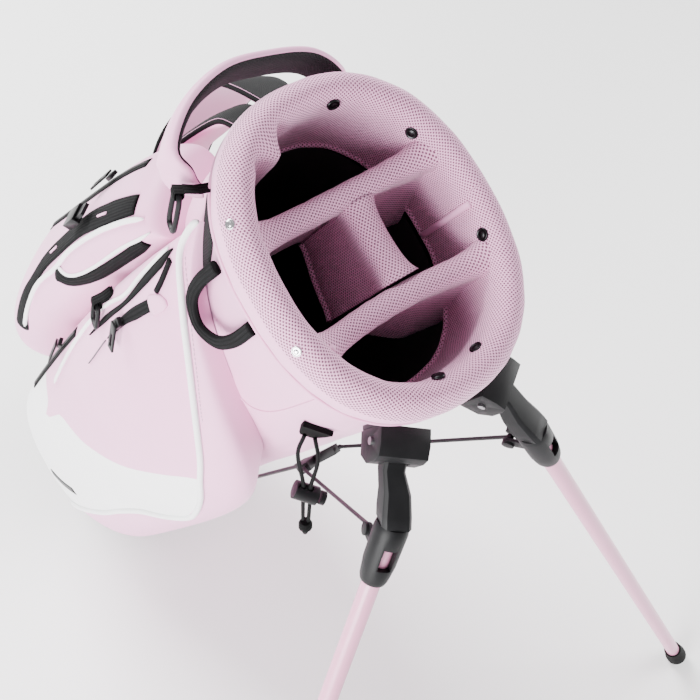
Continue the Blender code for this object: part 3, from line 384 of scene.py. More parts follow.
def roll_point(turn, step):
    """A point on the padded roll; one deep tuck folds its inner wall on the handle side."""
    inset, rise = step.x, step.z
    puff_size = 0.0007 * noise.noise(Vector((turn * 0.11, rise * 60, inset * 60)))
    wall = max(0.0, min(1.0, (inset - 0.016) / 0.009))
    tuck = sum(depth * math.exp(-((turn - at) / width) ** 2) for at, depth, width in tuck_folds)
    return outline(turn, collar_z + rise, inset - puff_size + tuck * wall * wall)


turns = [360.0 * k / 160 for k in range(160)]
collar_rows = [[roll_point(turn, step) for step in roll_line] for turn in turns]
cloth_up_to = 7                 # profile steps that are coated cloth, from the seam up the outside
collar = sewn("collar_roll", collar_rows, [pink_mesh, pink_cloth], "bag", closed_rows=True,
              part=lambda i, j, c: 1 if i < cloth_up_to else 0)
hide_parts("rim_pad")


def cord_round(name, line, radius, finish, body="bag", closed=False, count=10):
    """A sewn cord or piping along a line."""
    if closed:
        rows = round_rows(line + [line[0]], radius, count)[:-1]
    else:
        rows = round_rows(line, radius, count)
    piece = sewn(name, rows, [finish], body, closed_rows=closed)
    return piece


wall_inset = 0.0262             # the mesh wall inside the mouth
hem_drop = 0.0515               # its corded hem, under the collar's edge
hem_line = [roll_point(turn, Vector((wall_inset, 0, -hem_drop))) for turn in turns]
cord_round("collar_hem_cord", hem_line, 0.0024, pink_mesh, closed=True)
seam_line = [outline(turn, collar_z, 0.0) for turn in turns]
cord_round("collar_seam_cord", seam_line, 0.0015, pink_cloth, closed=True)
for seam_name, turn in (("collar_wall_seam_right", 357), ("collar_wall_seam_left", 205)):
    wall = [outline(turn, collar_z + rise, inset + 0.0008) for inset, rise in
            ((0.0258, -0.050), (0.0255, -0.036), (0.0255, -0.020), (0.0259, -0.004),
             (0.0262, 0.010), (0.0256, 0.020), (0.0238, 0.0285))]
    cord_round(seam_name, smooth(wall, 4), 0.0028, pink_cloth)


def plastic_finish(name, dark, light, roughness, grain=1400.0):
    """Moulded nylon: fine grain, faint flow marks, slightly uneven gloss."""
    finish, tree, shader = new_finish(name, light, roughness)
    shader.inputs["Specular IOR Level"].default_value = 0.13
    place = node(tree, "ShaderNodeTexCoord")
    fine = node(tree, "ShaderNodeTexNoise", _Scale=grain, _Detail=2.0)
    broad = node(tree, "ShaderNodeTexNoise", _Scale=45.0, _Detail=3.0)
    tree.links.new(place.outputs["Object"], fine.inputs["Vector"])
    tree.links.new(place.outputs["Object"], broad.inputs["Vector"])
    tones(tree, shader, broad.outputs["Fac"], dark, light)
    gloss = node(tree, "ShaderNodeMapRange")
    gloss.inputs["To Min"].default_value = roughness - 0.07
    gloss.inputs["To Max"].default_value = roughness + 0.08
    tree.links.new(broad.outputs["Fac"], gloss.inputs["Value"])
    tree.links.new(gloss.outputs[0], shader.inputs["Roughness"])
    relief(tree, shader, fine.outputs["Fac"], 0.22, 0.0002)
    return finish


def metal_finish(name, colour, roughness):
    """Plated metal with fine drawn marks."""
    finish, tree, shader = new_finish(name, colour, roughness, 1.0)
    place = node(tree, "ShaderNodeTexCoord")
    marks = node(tree, "ShaderNodeTexNoise", _Scale=600.0, _Detail=2.0)
    tree.links.new(place.outputs["Object"], marks.inputs["Vector"])
    tones(tree, shader, marks.outputs["Fac"], tuple(0.75 * c for c in colour), colour)
    relief(tree, shader, marks.outputs["Fac"], 0.12, 0.0001)
    return finish


bright_plate = metal_finish("bright_plate", (0.72, 0.72, 0.74), 0.22)
black_lacquer = metal_finish("black_lacquered_stud", (0.030, 0.030, 0.032), 0.30)


def snap(name, place, out, radius, finish):
    """A press stud: a domed cap with a raised lip, pressed through the cloth."""
    side = out.cross(Vector((0, 0, 1))).normalized()
    over = out.cross(side)
    rows = []
    for size, rise in ((radius, -0.0012), (radius, 0.0006), (radius * 0.93, 0.0013),
                       (radius * 0.80, 0.0013), (radius * 0.72, 0.0008), (radius * 0.45, 0.0014),
                       (radius * 0.15, 0.0017)):
        rows.append([place + out * rise + size * (math.cos(t) * side + math.sin(t) * over)
                     for t in (2 * math.pi * k / 24 for k in range(24))])
    piece = sewn(name, rows, [finish], "bag")
    return piece


inside_snap_radius = 0.0053
outside_snap_radius = 0.0040
for number, (turn, rise) in enumerate(((76, 0.0265), (31, 0.024), (345, 0.026), (286, 0.024),
                                       (262, 0.029))):
    wall_out = -outward(turn, collar_z)
    lifted = (wall_out + Vector((0, 0, 0.35))).normalized()
    snap("inside_snap_%d" % (number + 1), outline(turn, collar_z + rise, 0.0250), lifted,
         inside_snap_radius, black_lacquer)
for number, turn in enumerate((156, 195)):
    lifted = (outward(turn, collar_z) + Vector((0, 0, 0.8))).normalized()
    snap("outside_snap_%d" % (number + 1), outline(turn, collar_z + 0.0305, 0.0030), lifted,
         outside_snap_radius, bright_plate)


# ======================================================================
# Dividers
# Two padded bars cross the mouth and a saddle joins them. Each is a foam web in
# air mesh with a fat rounded top edge; its ends are sewn to the collar wall.
# ======================================================================
def puff(piece, pressure, frames, cap, held, ease=0.0):
    """Inflate a sewn skin by cloth simulation, then keep its shape; held says which points stay."""
    mesh = piece.data
    start = [v.co.copy() for v in mesh.vertices]
    group = piece.vertex_groups.new(name="held")
    for i, place in enumerate(start):
        group.add([i], held(i, place), "REPLACE")
    cloth = piece.modifiers.new("cloth", "CLOTH")
    cloth.settings.vertex_group_mass = "held"
    cloth.settings.pin_stiffness = 1.0
    cloth.settings.quality = 6
    cloth.settings.mass = 0.25
    cloth.settings.tension_stiffness = 18
    cloth.settings.compression_stiffness = 14
    cloth.settings.shear_stiffness = 8
    cloth.settings.bending_stiffness = 0.6
    cloth.settings.use_pressure = True
    cloth.settings.uniform_pressure_force = pressure
    cloth.settings.shrink_min = -ease
    cloth.settings.effector_weights.gravity = 0.0
    cloth.point_cache.frame_start = 1
    cloth.point_cache.frame_end = frames
    for step in range(1, frames + 1):
        bpy.context.scene.frame_set(step)
    graph = bpy.context.evaluated_depsgraph_get()
    shape = piece.evaluated_get(graph).to_mesh()
    ends = [v.co.copy() for v in shape.vertices]
    piece.evaluated_get(graph).to_mesh_clear()
    piece.modifiers.remove(cloth)
    for vertex, before, after in zip(mesh.vertices, start, ends):
        move = after - before
        vertex.co = before + (move if move.length <= cap else move * cap / move.length)
    mesh.update()
    piece.vertex_groups.remove(group)
    bpy.context.scene.frame_set(1)


bar_half = 0.0086
bar_top = collar_z + 0.0180
web_starts = 0.020               # the web hangs from this far under the top edge
web_depth = 0.0855
web_slant = 0.0240               # and leans this much at its right end
bar_profile = ((-1.0, 0.010), (-0.82, 0.0035), (-0.45, 0.0006), (0.0, 0.0), (0.45, 0.0006),
               (0.82, 0.0035), (1.0, 0.010), (0.98, 0.018), (0.80, 0.027), (0.62, 0.037),
               (0.56, 0.052), (0.55, 0.070), (0.54, 0.088), (0.50, 0.104), (0.0, 0.1055),
               (-0.50, 0.104), (-0.54, 0.088), (-0.55, 0.070), (-0.56, 0.052), (-0.62, 0.037),
               (-0.80, 0.027), (-0.98, 0.018))


def across_mouth(y, z, inset):
    """Half the inside width of the mouth at a depth y."""
    share = max(0.0, min(1.0, z / collar_z))
    a = base_half[0] + (top_half[0] - base_half[0]) * share - inset
    b = base_half[1] + (top_half[1] - base_half[1]) * share - inset
    return a * (1 - min(0.999, abs(y) / b) ** squareness) ** (1 / squareness)


def bar_rows(middle, sag):
    """Rows of points along one bar; its ends swell and climb the collar wall."""
    rows = []
    steps = 56
    for k in range(steps + 1):
        share = -math.cos(math.pi * k / steps)
        y = middle + sag * (1 - share * share)
        reach = across_mouth(abs(y) + bar_half * 0.4, bar_top, wall_inset)
        x = reach * share
        edge = reach - abs(x)
        flare = 1.0 + 0.55 * math.exp(-edge / 0.008)
        dip = -0.0040 * (1 - share * share) + 0.0105 * math.exp(-edge / 0.011)
        ripple = 0.0005 * noise.noise(Vector((x * 90, middle * 50, 0)))
        to_right = max(0.0, min(1.0, (share + 0.10) / 0.65))
        slant = web_slant * to_right * to_right * (3 - 2 * to_right)
        rows.append([Vector((x + 0.0050 * share * math.exp(-edge / 0.010),
                             y + bar_half * (1.12 * u) * flare + ripple
                             - slant * max(0.0, drop - web_starts) / web_depth,
                             bar_top + dip - drop))
                     for u, drop in bar_profile])
    return rows


def finer(row, steps=2):
    """The same closed row with points added along its curve."""
    count = len(row)
    out = []
    for i in range(count):
        a, b, c, d = (row[(i + n) % count] for n in (-1, 0, 1, 2))
        for k in range(steps):
            t = k / steps
            out.append(0.5 * (2 * b + (c - a) * t + (2 * a - 5 * b + 4 * c - d) * t * t
                              + (3 * b - a - 3 * c + d) * t ** 3))
    return out


for bar_name, middle, sag in (("upper_divider", 0.043, 0.0), ("lower_divider", -0.0496, 0.0066)):
    rows = [finer(row) for row in bar_rows(middle, sag)]
    bar = sewn(bar_name.replace("divider", "divider_pad"), rows, [pink_mesh], "bag")
    bar_count = len(rows[0])
    bar_last = len(rows) - 1
    sewn_ends = (0, 1, bar_last - 1, bar_last)
    puff(bar, 3.0, 14, 0.0025,
         lambda i, p: 1.0 if i // bar_count in sewn_ends or p.z < bar_top - 0.036 else 0.0)
    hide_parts(bar_name)
    web_hem = [sum((row[i] for i in range(26, 31)), Vector()) / 5 - Vector((0, 0, 0.0006))
               for row in rows[1:-1]]
    cord_round(bar_name + "_hem", web_hem, 0.0026, pink_mesh)

saddle_rows = []
saddle_steps = 28
saddle_from, saddle_to = -0.0310, 0.0355
saddle_x = 0.0130
saddle_slant = 0.0180
saddle_profile = ((-1.0, 0.012), (-0.8, 0.004), (-0.4, 0.0008), (0.0, 0.0), (0.4, 0.0008), (0.8, 0.004),
                  (1.0, 0.012), (1.0, 0.030), (0.95, 0.050), (0.95, 0.070), (0.9, 0.098), (0.0, 0.099),
                  (-0.9, 0.098), (-0.95, 0.070), (-0.95, 0.050), (-1.0, 0.030))
for k in range(saddle_steps + 1):
    share = k / saddle_steps
    y = saddle_from + (saddle_to - saddle_from) * share
    spread = 0.0125 + 0.0045 * (2 * share - 1) ** 6
    crest = collar_z + 0.0130 - 0.0050 * math.sin(math.pi * share)
    saddle_rows.append(finer([Vector((saddle_x + spread * u * (1.0 if drop < 0.03 else 0.62)
                                      - saddle_slant * (1 - 0.75 * share) * max(0.0, drop - 0.012) / 0.088,
                                      y, crest - drop))
                              for u, drop in saddle_profile]))
saddle = sewn("centre_divider_pad", saddle_rows, [pink_mesh], "bag")
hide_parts("centre_divider")
cord_round("centre_divider_hem", [row[24] - Vector((0.001, 0, 0)) for row in saddle_rows], 0.0025,
           pink_mesh)


# ======================================================================
# Lining
# A full-length tube of thin black nylon hangs inside the mouth, with a wider
# bound strip along its top edge. The stays stand between it and the outer skin.
# ======================================================================
def lining_finish(name, dark, light):
    """Thin woven nylon: a fine plain weave with a soft shine."""
    finish, tree, shader = new_finish(name, light, 0.62)
    shader.inputs["Sheen Weight"].default_value = 0.02
    shader.inputs["Specular IOR Level"].default_value = 0.15
    place = node(tree, "ShaderNodeTexCoord")
    weave = node(tree, "ShaderNodeTexNoise", _Scale=1100.0, _Detail=1.0)
    folds = node(tree, "ShaderNodeTexNoise", _Scale=14.0, _Detail=2.0)
    tree.links.new(place.outputs["Object"], weave.inputs["Vector"])
    tree.links.new(place.outputs["Object"], folds.inputs["Vector"])
    tones(tree, shader, folds.outputs["Fac"], dark, light)
    relief(tree, shader, weave.outputs["Fac"], 0.15, 0.0002)
    return finish


def dress(finish, *names):
    """Give CAD nodes a finish in place of their plain one."""
    for name in names:
        slots = frame["nodes"][name].material_slots
        if len(slots) == 0:
            frame["nodes"][name].data.materials.append(finish)
        for material_slot in slots:
            material_slot.material = finish


black_lining = lining_finish("black_lining_nylon", (0.040, 0.040, 0.042), (0.065, 0.065, 0.068))
black_binding = braid_finish("black_binding", (0.002, 0.002, 0.002), (0.007, 0.007, 0.0075), 700, 0.8)
dress(black_lining, "inner_liner_left", "inner_liner_right")
strip_profile = ((0.0200, 0.0545), (0.0200, 0.0700), (0.0207, 0.0700), (0.0207, 0.0545))
strip_rows = [[outline(turn, collar_z - drop, inset) for inset, drop in strip_profile]
              for turn in turns]
strip = sewn("liner_top_strip", strip_rows, [black_binding], "bag", closed_rows=True)


# ======================================================================
# Outer skin
# Coated polyester sewn into a tube, a little slack so that it dents between
# the stays. Two stitched rows run round it under the collar.
# ======================================================================
def skin_point(turn, z):
    """A point on the skin, with soft dents away from its two sewn ends."""
    soft = 0.0014 * noise.noise(Vector((turn * 0.035, z * 5.0, 1.7)))
    fold = 0.0008 * noise.noise(Vector((turn * 0.12, z * 16.0, 4.1)))
    near_ends = min(1.0, (collar_z - z) / 0.05, max(0.0, (z - 0.06) / 0.03))
    return outline(turn, z, 0.0052 - (soft + fold) * near_ends)


skin_foot = 0.0626
skin_top = collar_z - 0.0006
skin_back = 0.0078               # the inside face of the cloth
skin_levels = [skin_foot + (skin_top - skin_foot) * k / 64 for k in range(65)]
skin_rows = [[skin_point(turn, z) for turn in turns] for z in skin_levels]
skin_rows += [[outline(turn, z, skin_back) for turn in turns]
              for z in (skin_levels[-1], 0.45, skin_levels[0])]
skin = sewn("outer_skin", skin_rows, [pink_cloth], "bag", closed_rows=True)
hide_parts("body_shell_left", "body_shell_right")


def thread_finish(name, colour):
    """Polyester sewing thread with a twisted sheen."""
    finish, tree, shader = new_finish(name, colour, 0.5)
    place = node(tree, "ShaderNodeTexCoord")
    twist = node(tree, "ShaderNodeTexNoise", _Scale=2500.0, _Detail=1.0)
    tree.links.new(place.outputs["Object"], twist.inputs["Vector"])
    tones(tree, shader, twist.outputs["Fac"], tuple(0.8 * c for c in colour), colour)
    return finish


pink_thread = thread_finish("pink_thread", (0.62, 0.37, 0.51))
grey_thread = thread_finish("grey_thread", (0.08, 0.08, 0.085))


def stitches(name, line, outs, finish, body="bag", pitch=0.0042, long=0.0029, thick=0.00035):
    """A row of single stitches lying on the cloth along a line."""
    lengths = [0.0]
    for a, b in zip(line, line[1:]):
        lengths.append(lengths[-1] + (b - a).length)
    points, faces = [], []
    count = int(lengths[-1] / pitch)
    at = 0
    for k in range(count):
        middle = (k + 0.5) * pitch
        while at < len(lengths) - 2 and lengths[at + 1] < middle:
            at += 1
        share = (middle - lengths[at]) / max(1e-9, lengths[at + 1] - lengths[at])
        here = line[at].lerp(line[at + 1], share)
        out = outs[at]
        ahead = (line[at + 1] - line[at]).normalized()
        side = ahead.cross(out).normalized()
        base = len(points)
        for shift, size in ((-0.5, 0.25), (-0.3, 1.0), (0.3, 1.0), (0.5, 0.25)):
            centre = here + ahead * shift * long
            for t in range(5):
                turn = math.pi * t / 4
                points.append(centre + thick * size * (math.cos(turn) * side * 1.3
                                                        + math.sin(turn) * out * 1.2))
        for step in range(3):
            for t in range(4):
                low = base + step * 5 + t
                faces.append((low, low + 1, low + 6, low + 5))
    mesh = bpy.data.meshes.new(name)
    mesh.from_pydata([tuple(p) for p in points], [], faces)
    mesh.materials.append(finish)
    mesh.shade_smooth()
    piece = bpy.data.objects.new(name, mesh)
    bpy.context.collection.objects.link(piece)
    piece.matrix_world = bag_place
    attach(piece, body)
    return piece


fine_turns = [k * 1.5 for k in range(241)]
for number, drop in enumerate((0.0060, 0.0105)):
    stitches("collar_stitch_row_%d" % (number + 1),
             [outline(turn, collar_z - drop, 0.0046) for turn in fine_turns],
             [outward(turn, collar_z) for turn in fine_turns], pink_thread)


# ======================================================================
# Pockets
# Each is a box of coated cloth sewn flat to the skin: a crowned face, a gusset
# round it, and soft stuffing. The big one holds clothes, the far one balls.
# ======================================================================
big_pocket = {
    "from": 146, "to": 238, "edge": 0.005, "power": 6, "grid": (64, 84),
    "low": lambda u: 0.118,
    "high": lambda u: collar_z - 0.027 - 0.17 * u - 0.09 * u ** 8,
    "depth": lambda z, u: 0.057 * (1 - (max(0.0, z - 0.10) / (collar_z - 0.112)) ** 4.5)}
ball_top = collar_z - 0.097
ball_pocket = {
    "from": 100, "to": 142, "edge": 0.005, "power": 5, "grid": (40, 56),
    "low": lambda u: collar_z - 0.572,
    "high": lambda u: ball_top,
    "depth": lambda z, u: (0.040 + 0.17 * (ball_top - z)
                           * (1 - 0.4 * max(0.0, collar_z - 0.392 - z) / 0.18))}
right_pocket = {
    "from": -60, "to": 10, "edge": 0.005, "power": 6, "grid": (44, 60),
    "low": lambda u: 0.118,
    "high": lambda u: collar_z - 0.142 - 0.10 * (1 - u),
    "depth": lambda z, u: 0.050 * (1 - ((z - 0.10) / (collar_z - 0.142)) ** 3)}


def swell(share, power):
    """From 0 at the edges to 1 over the middle; a high power gives a boxy pocket."""
    return (1 - abs(2 * share - 1) ** power) ** (1 / power)


def pocket_point(pocket, u, v, slack=0.0):
    """A point on a pocket's face; u runs across it and v up it, both from 0 to 1."""
    turn = pocket["from"] + (pocket["to"] - pocket["from"]) * u
    low, high = pocket["low"](u), pocket["high"](u)
    z = low + (high - low) * v
    full = swell(u, pocket["power"]) * swell(v, pocket["power"])
    out = pocket["edge"] * (1 - slack) + pocket["depth"](z, u) * full * (1 - slack)
    return outline(turn, z, skin_inset) + outward(turn, z) * out


def pocket_skin(name, pocket, finishes, pressure, cap):
    """The pocket's outer cloth, its edge turned down on to the skin, then stuffed."""
    columns, levels = pocket["grid"]
    us = [0.5 - 0.5 * math.cos(math.pi * k / columns) for k in range(columns + 1)]
    vs = [0.5 - 0.5 * math.cos(math.pi * k / levels) for k in range(levels + 1)]

    def on_skin(u, v):
        turn = pocket["from"] + (pocket["to"] - pocket["from"]) * u
        z = pocket["low"](u) + (pocket["high"](u) - pocket["low"](u)) * v
        return outline(turn, z, skin_inset) + outward(turn, z) * 0.0003

    rows = [[on_skin(u, 0.0) for u in [0.0] + us + [1.0]]]
    for v in vs:
        rows.append([on_skin(0.0, v)] + [pocket_point(pocket, u, v, 0.02) for u in us]
                    + [on_skin(1.0, v)])
    rows.append([on_skin(u, 1.0) for u in [0.0] + us + [1.0]])
    piece = sewn(name, rows, finishes, "bag", closed_line=False, ends=False)
    count = len(rows[0])
    last = len(rows) - 1
    sewn_rows = (0, 1, last - 1, last)
    sewn_sides = (0, 1, count - 2, count - 1)
    puff(piece, pressure, 16, cap,
         lambda i, p: 1.0 if i // count in sewn_rows or i % count in sewn_sides else 0.0, ease=0.012)
    return piece


def near(piece):
    """The finished skin as something to lay trims on."""
    mesh = piece.data
    return BVHTree.FromPolygons([v.co for v in mesh.vertices], [p.vertices for p in mesh.polygons])


def laid(tree, points, lift=0.0):
    """A line of points brought down on to a skin, with the skin's outward direction at each."""
    line, outs = [], []
    for p in points:
        place, out, _, _ = tree.find_nearest(p)
        if out.dot(Vector((p.x, p.y, 0)).normalized() + (p - place).normalized() * 0.2) < 0:
            out = -out
        line.append(place + out * lift)
        outs.append(out)
    soft = [(outs[max(0, k - 1)] + outs[k] + outs[min(len(outs) - 1, k + 1)]).normalized()
            for k in range(len(outs))]
    return line, soft


def even(points, step=0.004):
    """The smooth line through chosen points, with even steps."""
    line = smooth([Vector(p) for p in points], 24)
    out = [line[0]]
    for p in line[1:]:
        if (p - out[-1]).length >= step:
            out.append(p)
    return out


def piping(name, tree, points, radius=0.0024, finish=None, lift=0.0012):
    """A covered cord sewn on a skin, its ends drawn thin."""
    line = laid(tree, even(points), lift)[0]
    line = [line[0]] + [(a + b * 2 + c) / 4 for a, b, c in zip(line, line[1:], line[2:])] + [line[-1]]
    size = [radius * min(1.0, 0.35 + 0.65 * min(k, len(line) - 1 - k) / 2) for k in range(len(line))]
    piece = sewn(name, round_rows(line, size, 12), [finish or white_piping], "bag")
    return piece


def tape(name, tree, points, width, finish, thick=0.0012, lift=0.0004):
    """A flat strip sewn on a skin; width is one number or (share, width) pairs."""
    line, outs = laid(tree, even(points), 0.0)
    rows = []
    last = len(line) - 1
    for k, (here, out) in enumerate(zip(line, outs)):
        ahead = (line[min(k + 1, last)] - line[max(k - 1, 0)]).normalized()
        side = ahead.cross(out).normalized()
        share = k / max(1, last)
        half = width / 2 if not isinstance(width, (list, tuple)) else 0.0
        if isinstance(width, (list, tuple)):
            for (s0, w0), (s1, w1) in zip(width, width[1:]):
                if s0 <= share <= s1:
                    half = 0.5 * (w0 + (w1 - w0) * (share - s0) / max(1e-9, s1 - s0))
        steps = 8
        top = []
        bottom = []
        for j in range(steps + 1):
            shift = half * (2 * j / steps - 1)
            place, face_out, _, _ = tree.find_nearest(here + side * shift + out * 0.001)
            if face_out.dot(out) < 0:
                face_out = -face_out
            edge = 1.0 - 0.55 * abs(2 * j / steps - 1) ** 4
            top.append(place + out * (lift + thick * edge))
            bottom.append(place + out * (lift - 0.0006))
        rows.append(top + bottom[::-1])
    piece = sewn(name, rows, [finish], "bag")
    return piece


big_face = pocket_skin("big_pocket_cloth", big_pocket, [pink_cloth], 2.2, 0.006)
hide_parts("apparel_pocket")
ball_face = pocket_skin("ball_pocket_cloth", ball_pocket, [pink_cloth], 1.8, 0.005)
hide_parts("ball_pocket")
right_face = pocket_skin("right_pocket_cloth", right_pocket, [pink_cloth], 2.0, 0.005)
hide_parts("right_pocket")
big_tree = near(big_face)
ball_tree = near(ball_face)
right_tree = near(right_face)
skin_tree = near(skin)


def between(line, at):
    """The second value of a line of pairs, where the first is at."""
    if at <= line[0][0]:
        return line[0][1]
    for (a0, b0), (a1, b1) in zip(line, line[1:]):
        if a0 <= at <= a1:
            return b0 + (b1 - b0) * (at - a0) / max(1e-9, a1 - a0)
    return line[-1][1]


def colour_block(piece, seam, side, foot):
    """White cloth between seams: each point keeps how far inside all three it lies."""
    mesh = piece.data
    inside = mesh.attributes.new("below_seam", "FLOAT", "POINT")
    for vertex in mesh.vertices:
        y, z = vertex.co.y, vertex.co.z
        inside.data[vertex.index].value = min(between(seam, y) - z, y - between(side, z),
                                              z - between(foot, y))


def two_colour_finish(name, dark, light, white_dark, white_light):
    """Two coated cloths joined at a flat seam, from the height kept on each point."""
    finish = coated_finish(name, dark, light)
    tree = finish.node_tree
    shader = tree.nodes["Principled BSDF"]
    pink_link = shader.inputs["Base Color"].links[0]
    pink_from = pink_link.from_socket
    cloud = next(n for n in tree.nodes
                 if n.type == "TEX_NOISE" and abs(n.inputs["Scale"].default_value - 11) < 1)
    white = node(tree, "ShaderNodeMix", data_type="RGBA")
    white.inputs[6].default_value = (*white_dark, 1.0)
    white.inputs[7].default_value = (*white_light, 1.0)
    tree.links.new(cloud.outputs["Fac"], white.inputs[0])
    height = node(tree, "ShaderNodeAttribute", attribute_name="below_seam")
    step = node(tree, "ShaderNodeMapRange")
    step.inputs["From Min"].default_value = -0.0003
    step.inputs["From Max"].default_value = 0.0003
    tree.links.new(height.outputs["Fac"], step.inputs["Value"])
    both = node(tree, "ShaderNodeMix", data_type="RGBA")
    tree.links.new(step.outputs[0], both.inputs[0])
    tree.links.new(pink_from, both.inputs[6])
    tree.links.new(white.outputs[2], both.inputs[7])
    tree.links.new(both.outputs[2], shader.inputs["Base Color"])
    return finish


block_seam = smooth([Vector((y, 0, z)) for y, z in (
    (-0.124, 0.655), (-0.091, 0.625), (-0.072, 0.572), (-0.046, 0.496), (-0.010, 0.432), (0.013, 0.410),
    (0.028, 0.397), (0.034, 0.380), (0.038, 0.335), (0.043, 0.322), (0.048, 0.345), (0.056, 0.362),
    (0.080, 0.372))], 6)
colour_block(big_face, sorted((p.x, p.z) for p in block_seam),
             [(0.135, -0.055), (0.20, -0.070), (0.281, -0.084), (0.411, -0.095), (0.446, -0.113),
              (0.481, -0.124), (0.551, -0.116), (0.628, -0.093), (0.665, -0.075)],
             [(-0.130, 0.100), (0.050, 0.150)])
big_face.data.materials[0] = two_colour_finish(
    "pocket_two_colour_cloth", (0.75, 0.34, 0.56), (0.82, 0.39, 0.62),
    (0.82, 0.82, 0.83), (0.89, 0.89, 0.90))

# Trims on the big pocket: two pipings, a storm zip under the second one, a short
# face zip that runs into a stitched half-round garage, and a plain woven label.
piping("big_pocket_main_piping", big_tree, (
    (-0.093, 0.088, 0.838), (-0.098, 0.080, 0.824), (-0.105, 0.070, 0.808), (-0.115, 0.045, 0.793),
    (-0.122, 0.018, 0.773), (-0.128, -0.013, 0.748), (-0.133, -0.046, 0.713), (-0.133, -0.075, 0.670),
    (-0.130, -0.093, 0.628), (-0.125, -0.110, 0.580), (-0.120, -0.122, 0.520), (-0.120, -0.124, 0.485),
    (-0.129, -0.113, 0.448), (-0.138, -0.098, 0.411), (-0.144, -0.089, 0.345), (-0.146, -0.084, 0.281),
    (-0.150, -0.070, 0.200), (-0.155, -0.055, 0.140)), 0.0030)
piping("big_pocket_back_piping", big_tree, (
    (-0.108, 0.080, 0.790), (-0.114, 0.077, 0.763), (-0.121, 0.075, 0.735), (-0.130, 0.073, 0.704),
    (-0.136, 0.080, 0.644), (-0.150, 0.080, 0.560), (-0.163, 0.074, 0.480),
    (-0.170, 0.066, 0.420)), 0.0019)
tape("storm_zip_tape", big_tree, (
    (-0.107, 0.076, 0.796), (-0.112, 0.073, 0.772), (-0.121, 0.070, 0.744), (-0.131, 0.067, 0.703),
    (-0.138, 0.069, 0.657), (-0.147, 0.070, 0.599)),
     ((0, 0.001), (0.12, 0.011), (0.3, 0.008), (0.5, 0.004), (0.75, 0.006), (1.0, 0.0005)), black_webbing)
tape("folded_zip_end", big_tree, (
    (-0.107, 0.068, 0.790), (-0.114, 0.060, 0.773), (-0.122, 0.055, 0.757)),
     0.0052, black_webbing, thick=0.0022)
tape("face_zip_tape", big_tree, (
    (-0.124, 0.050, 0.750), (-0.130, 0.053, 0.722), (-0.138, 0.056, 0.688), (-0.146, 0.054, 0.647)),
     ((0, 0.010), (0.35, 0.011), (0.7, 0.007), (1.0, 0.0006)), black_webbing)
tape("face_zip_garage", big_tree, (
    (-0.118, 0.043, 0.768), (-0.122, 0.047, 0.758), (-0.126, 0.050, 0.745)),
     ((0, 0.004), (0.3, 0.014), (1.0, 0.017)), pink_cloth, thick=0.0018)
tape("zip_line_below", big_tree, (
    (-0.147, 0.054, 0.640), (-0.153, 0.052, 0.610), (-0.160, 0.050, 0.575)), 0.0008, grey_thread)
tape("plain_woven_label", big_tree, (
    (-0.154, -0.012, 0.185), (-0.154, -0.030, 0.208), (-0.154, -0.046, 0.236)),
     0.0110, black_cloth, thick=0.0006)
piping_seam, piping_outs = laid(big_tree, even([(p[0] + 0.001, p[1] - 0.006, p[2] + 0.002) for p in (
    (-0.105, 0.070, 0.808), (-0.115, 0.045, 0.793), (-0.122, 0.018, 0.773), (-0.128, -0.013, 0.748),
    (-0.133, -0.046, 0.713))]), 0.0002)
stitches("main_piping_stitches", piping_seam, piping_outs, pink_thread)

# Trims on the ball pocket: a webbing daisy chain with bound slots and a side
# release buckle, two white pipings and a ribbed black band.
daisy_points = ((-0.146, 0.132, 0.399), (-0.141, 0.147, 0.486), (-0.126, 0.157, 0.528),
                (-0.116, 0.156, 0.575), (-0.107, 0.152, 0.636), (-0.103, 0.139, 0.700),
                (-0.097, 0.128, 0.748))
tape("daisy_chain_webbing", ball_tree, daisy_points,
     ((0, 0.020), (0.5, 0.023), (0.85, 0.023), (1, 0.018)), black_webbing, thick=0.0018)
slot_path = laid(ball_tree, even(daisy_points), 0.0026)[0]
for number, share in enumerate((0.42, 0.80)):
    at = int(share * (len(slot_path) - 1))
    tape("daisy_slot_%d" % (number + 1), ball_tree,
         [slot_path[at - 2], slot_path[at], slot_path[at + 2]], 0.0026, pink_cloth, thick=0.0030)
piping("ball_outer_piping", ball_tree, (
    (-0.147, 0.128, 0.410), (-0.146, 0.136, 0.471), (-0.137, 0.143, 0.519), (-0.130, 0.139, 0.572),
    (-0.121, 0.140, 0.612), (-0.113, 0.132, 0.671), (-0.106, 0.120, 0.733),
    (-0.098, 0.110, 0.758)), 0.0024)
piping("ball_inner_piping", ball_tree, (
    (-0.130, 0.140, 0.578), (-0.129, 0.124, 0.600), (-0.125, 0.113, 0.649), (-0.116, 0.106, 0.717),
    (-0.102, 0.100, 0.760)), 0.0017)
tape("ball_ribbed_band", ball_tree, (
    (-0.133, 0.134, 0.572), (-0.130, 0.118, 0.598), (-0.122, 0.106, 0.640), (-0.114, 0.100, 0.692),
    (-0.105, 0.096, 0.745)),
     ((0, 0.013), (0.5, 0.014), (0.9, 0.014), (1.0, 0.009)), black_webbing, thick=0.0020)

# The long zips of the two pockets: a flat tape with its coil, under the sliders.
for zip_name, pocket, tree, across, high, low in (
        ("ball_zip", ball_pocket, ball_tree, 0.30, 0.93, 0.36),
        ("apparel_zip", big_pocket, big_tree, 0.06, 0.60, 0.22)):
    zip_line = [pocket_point(pocket, across, high + (low - high) * k / 6) for k in range(7)]
    tape(zip_name + "_tape", tree, zip_line, ((0, 0.010), (0.5, 0.0115), (1.0, 0.010)), black_webbing,
         thick=0.0008)
    piping(zip_name + "_coil", tree, zip_line, 0.0011, black_cloth, lift=0.0014)

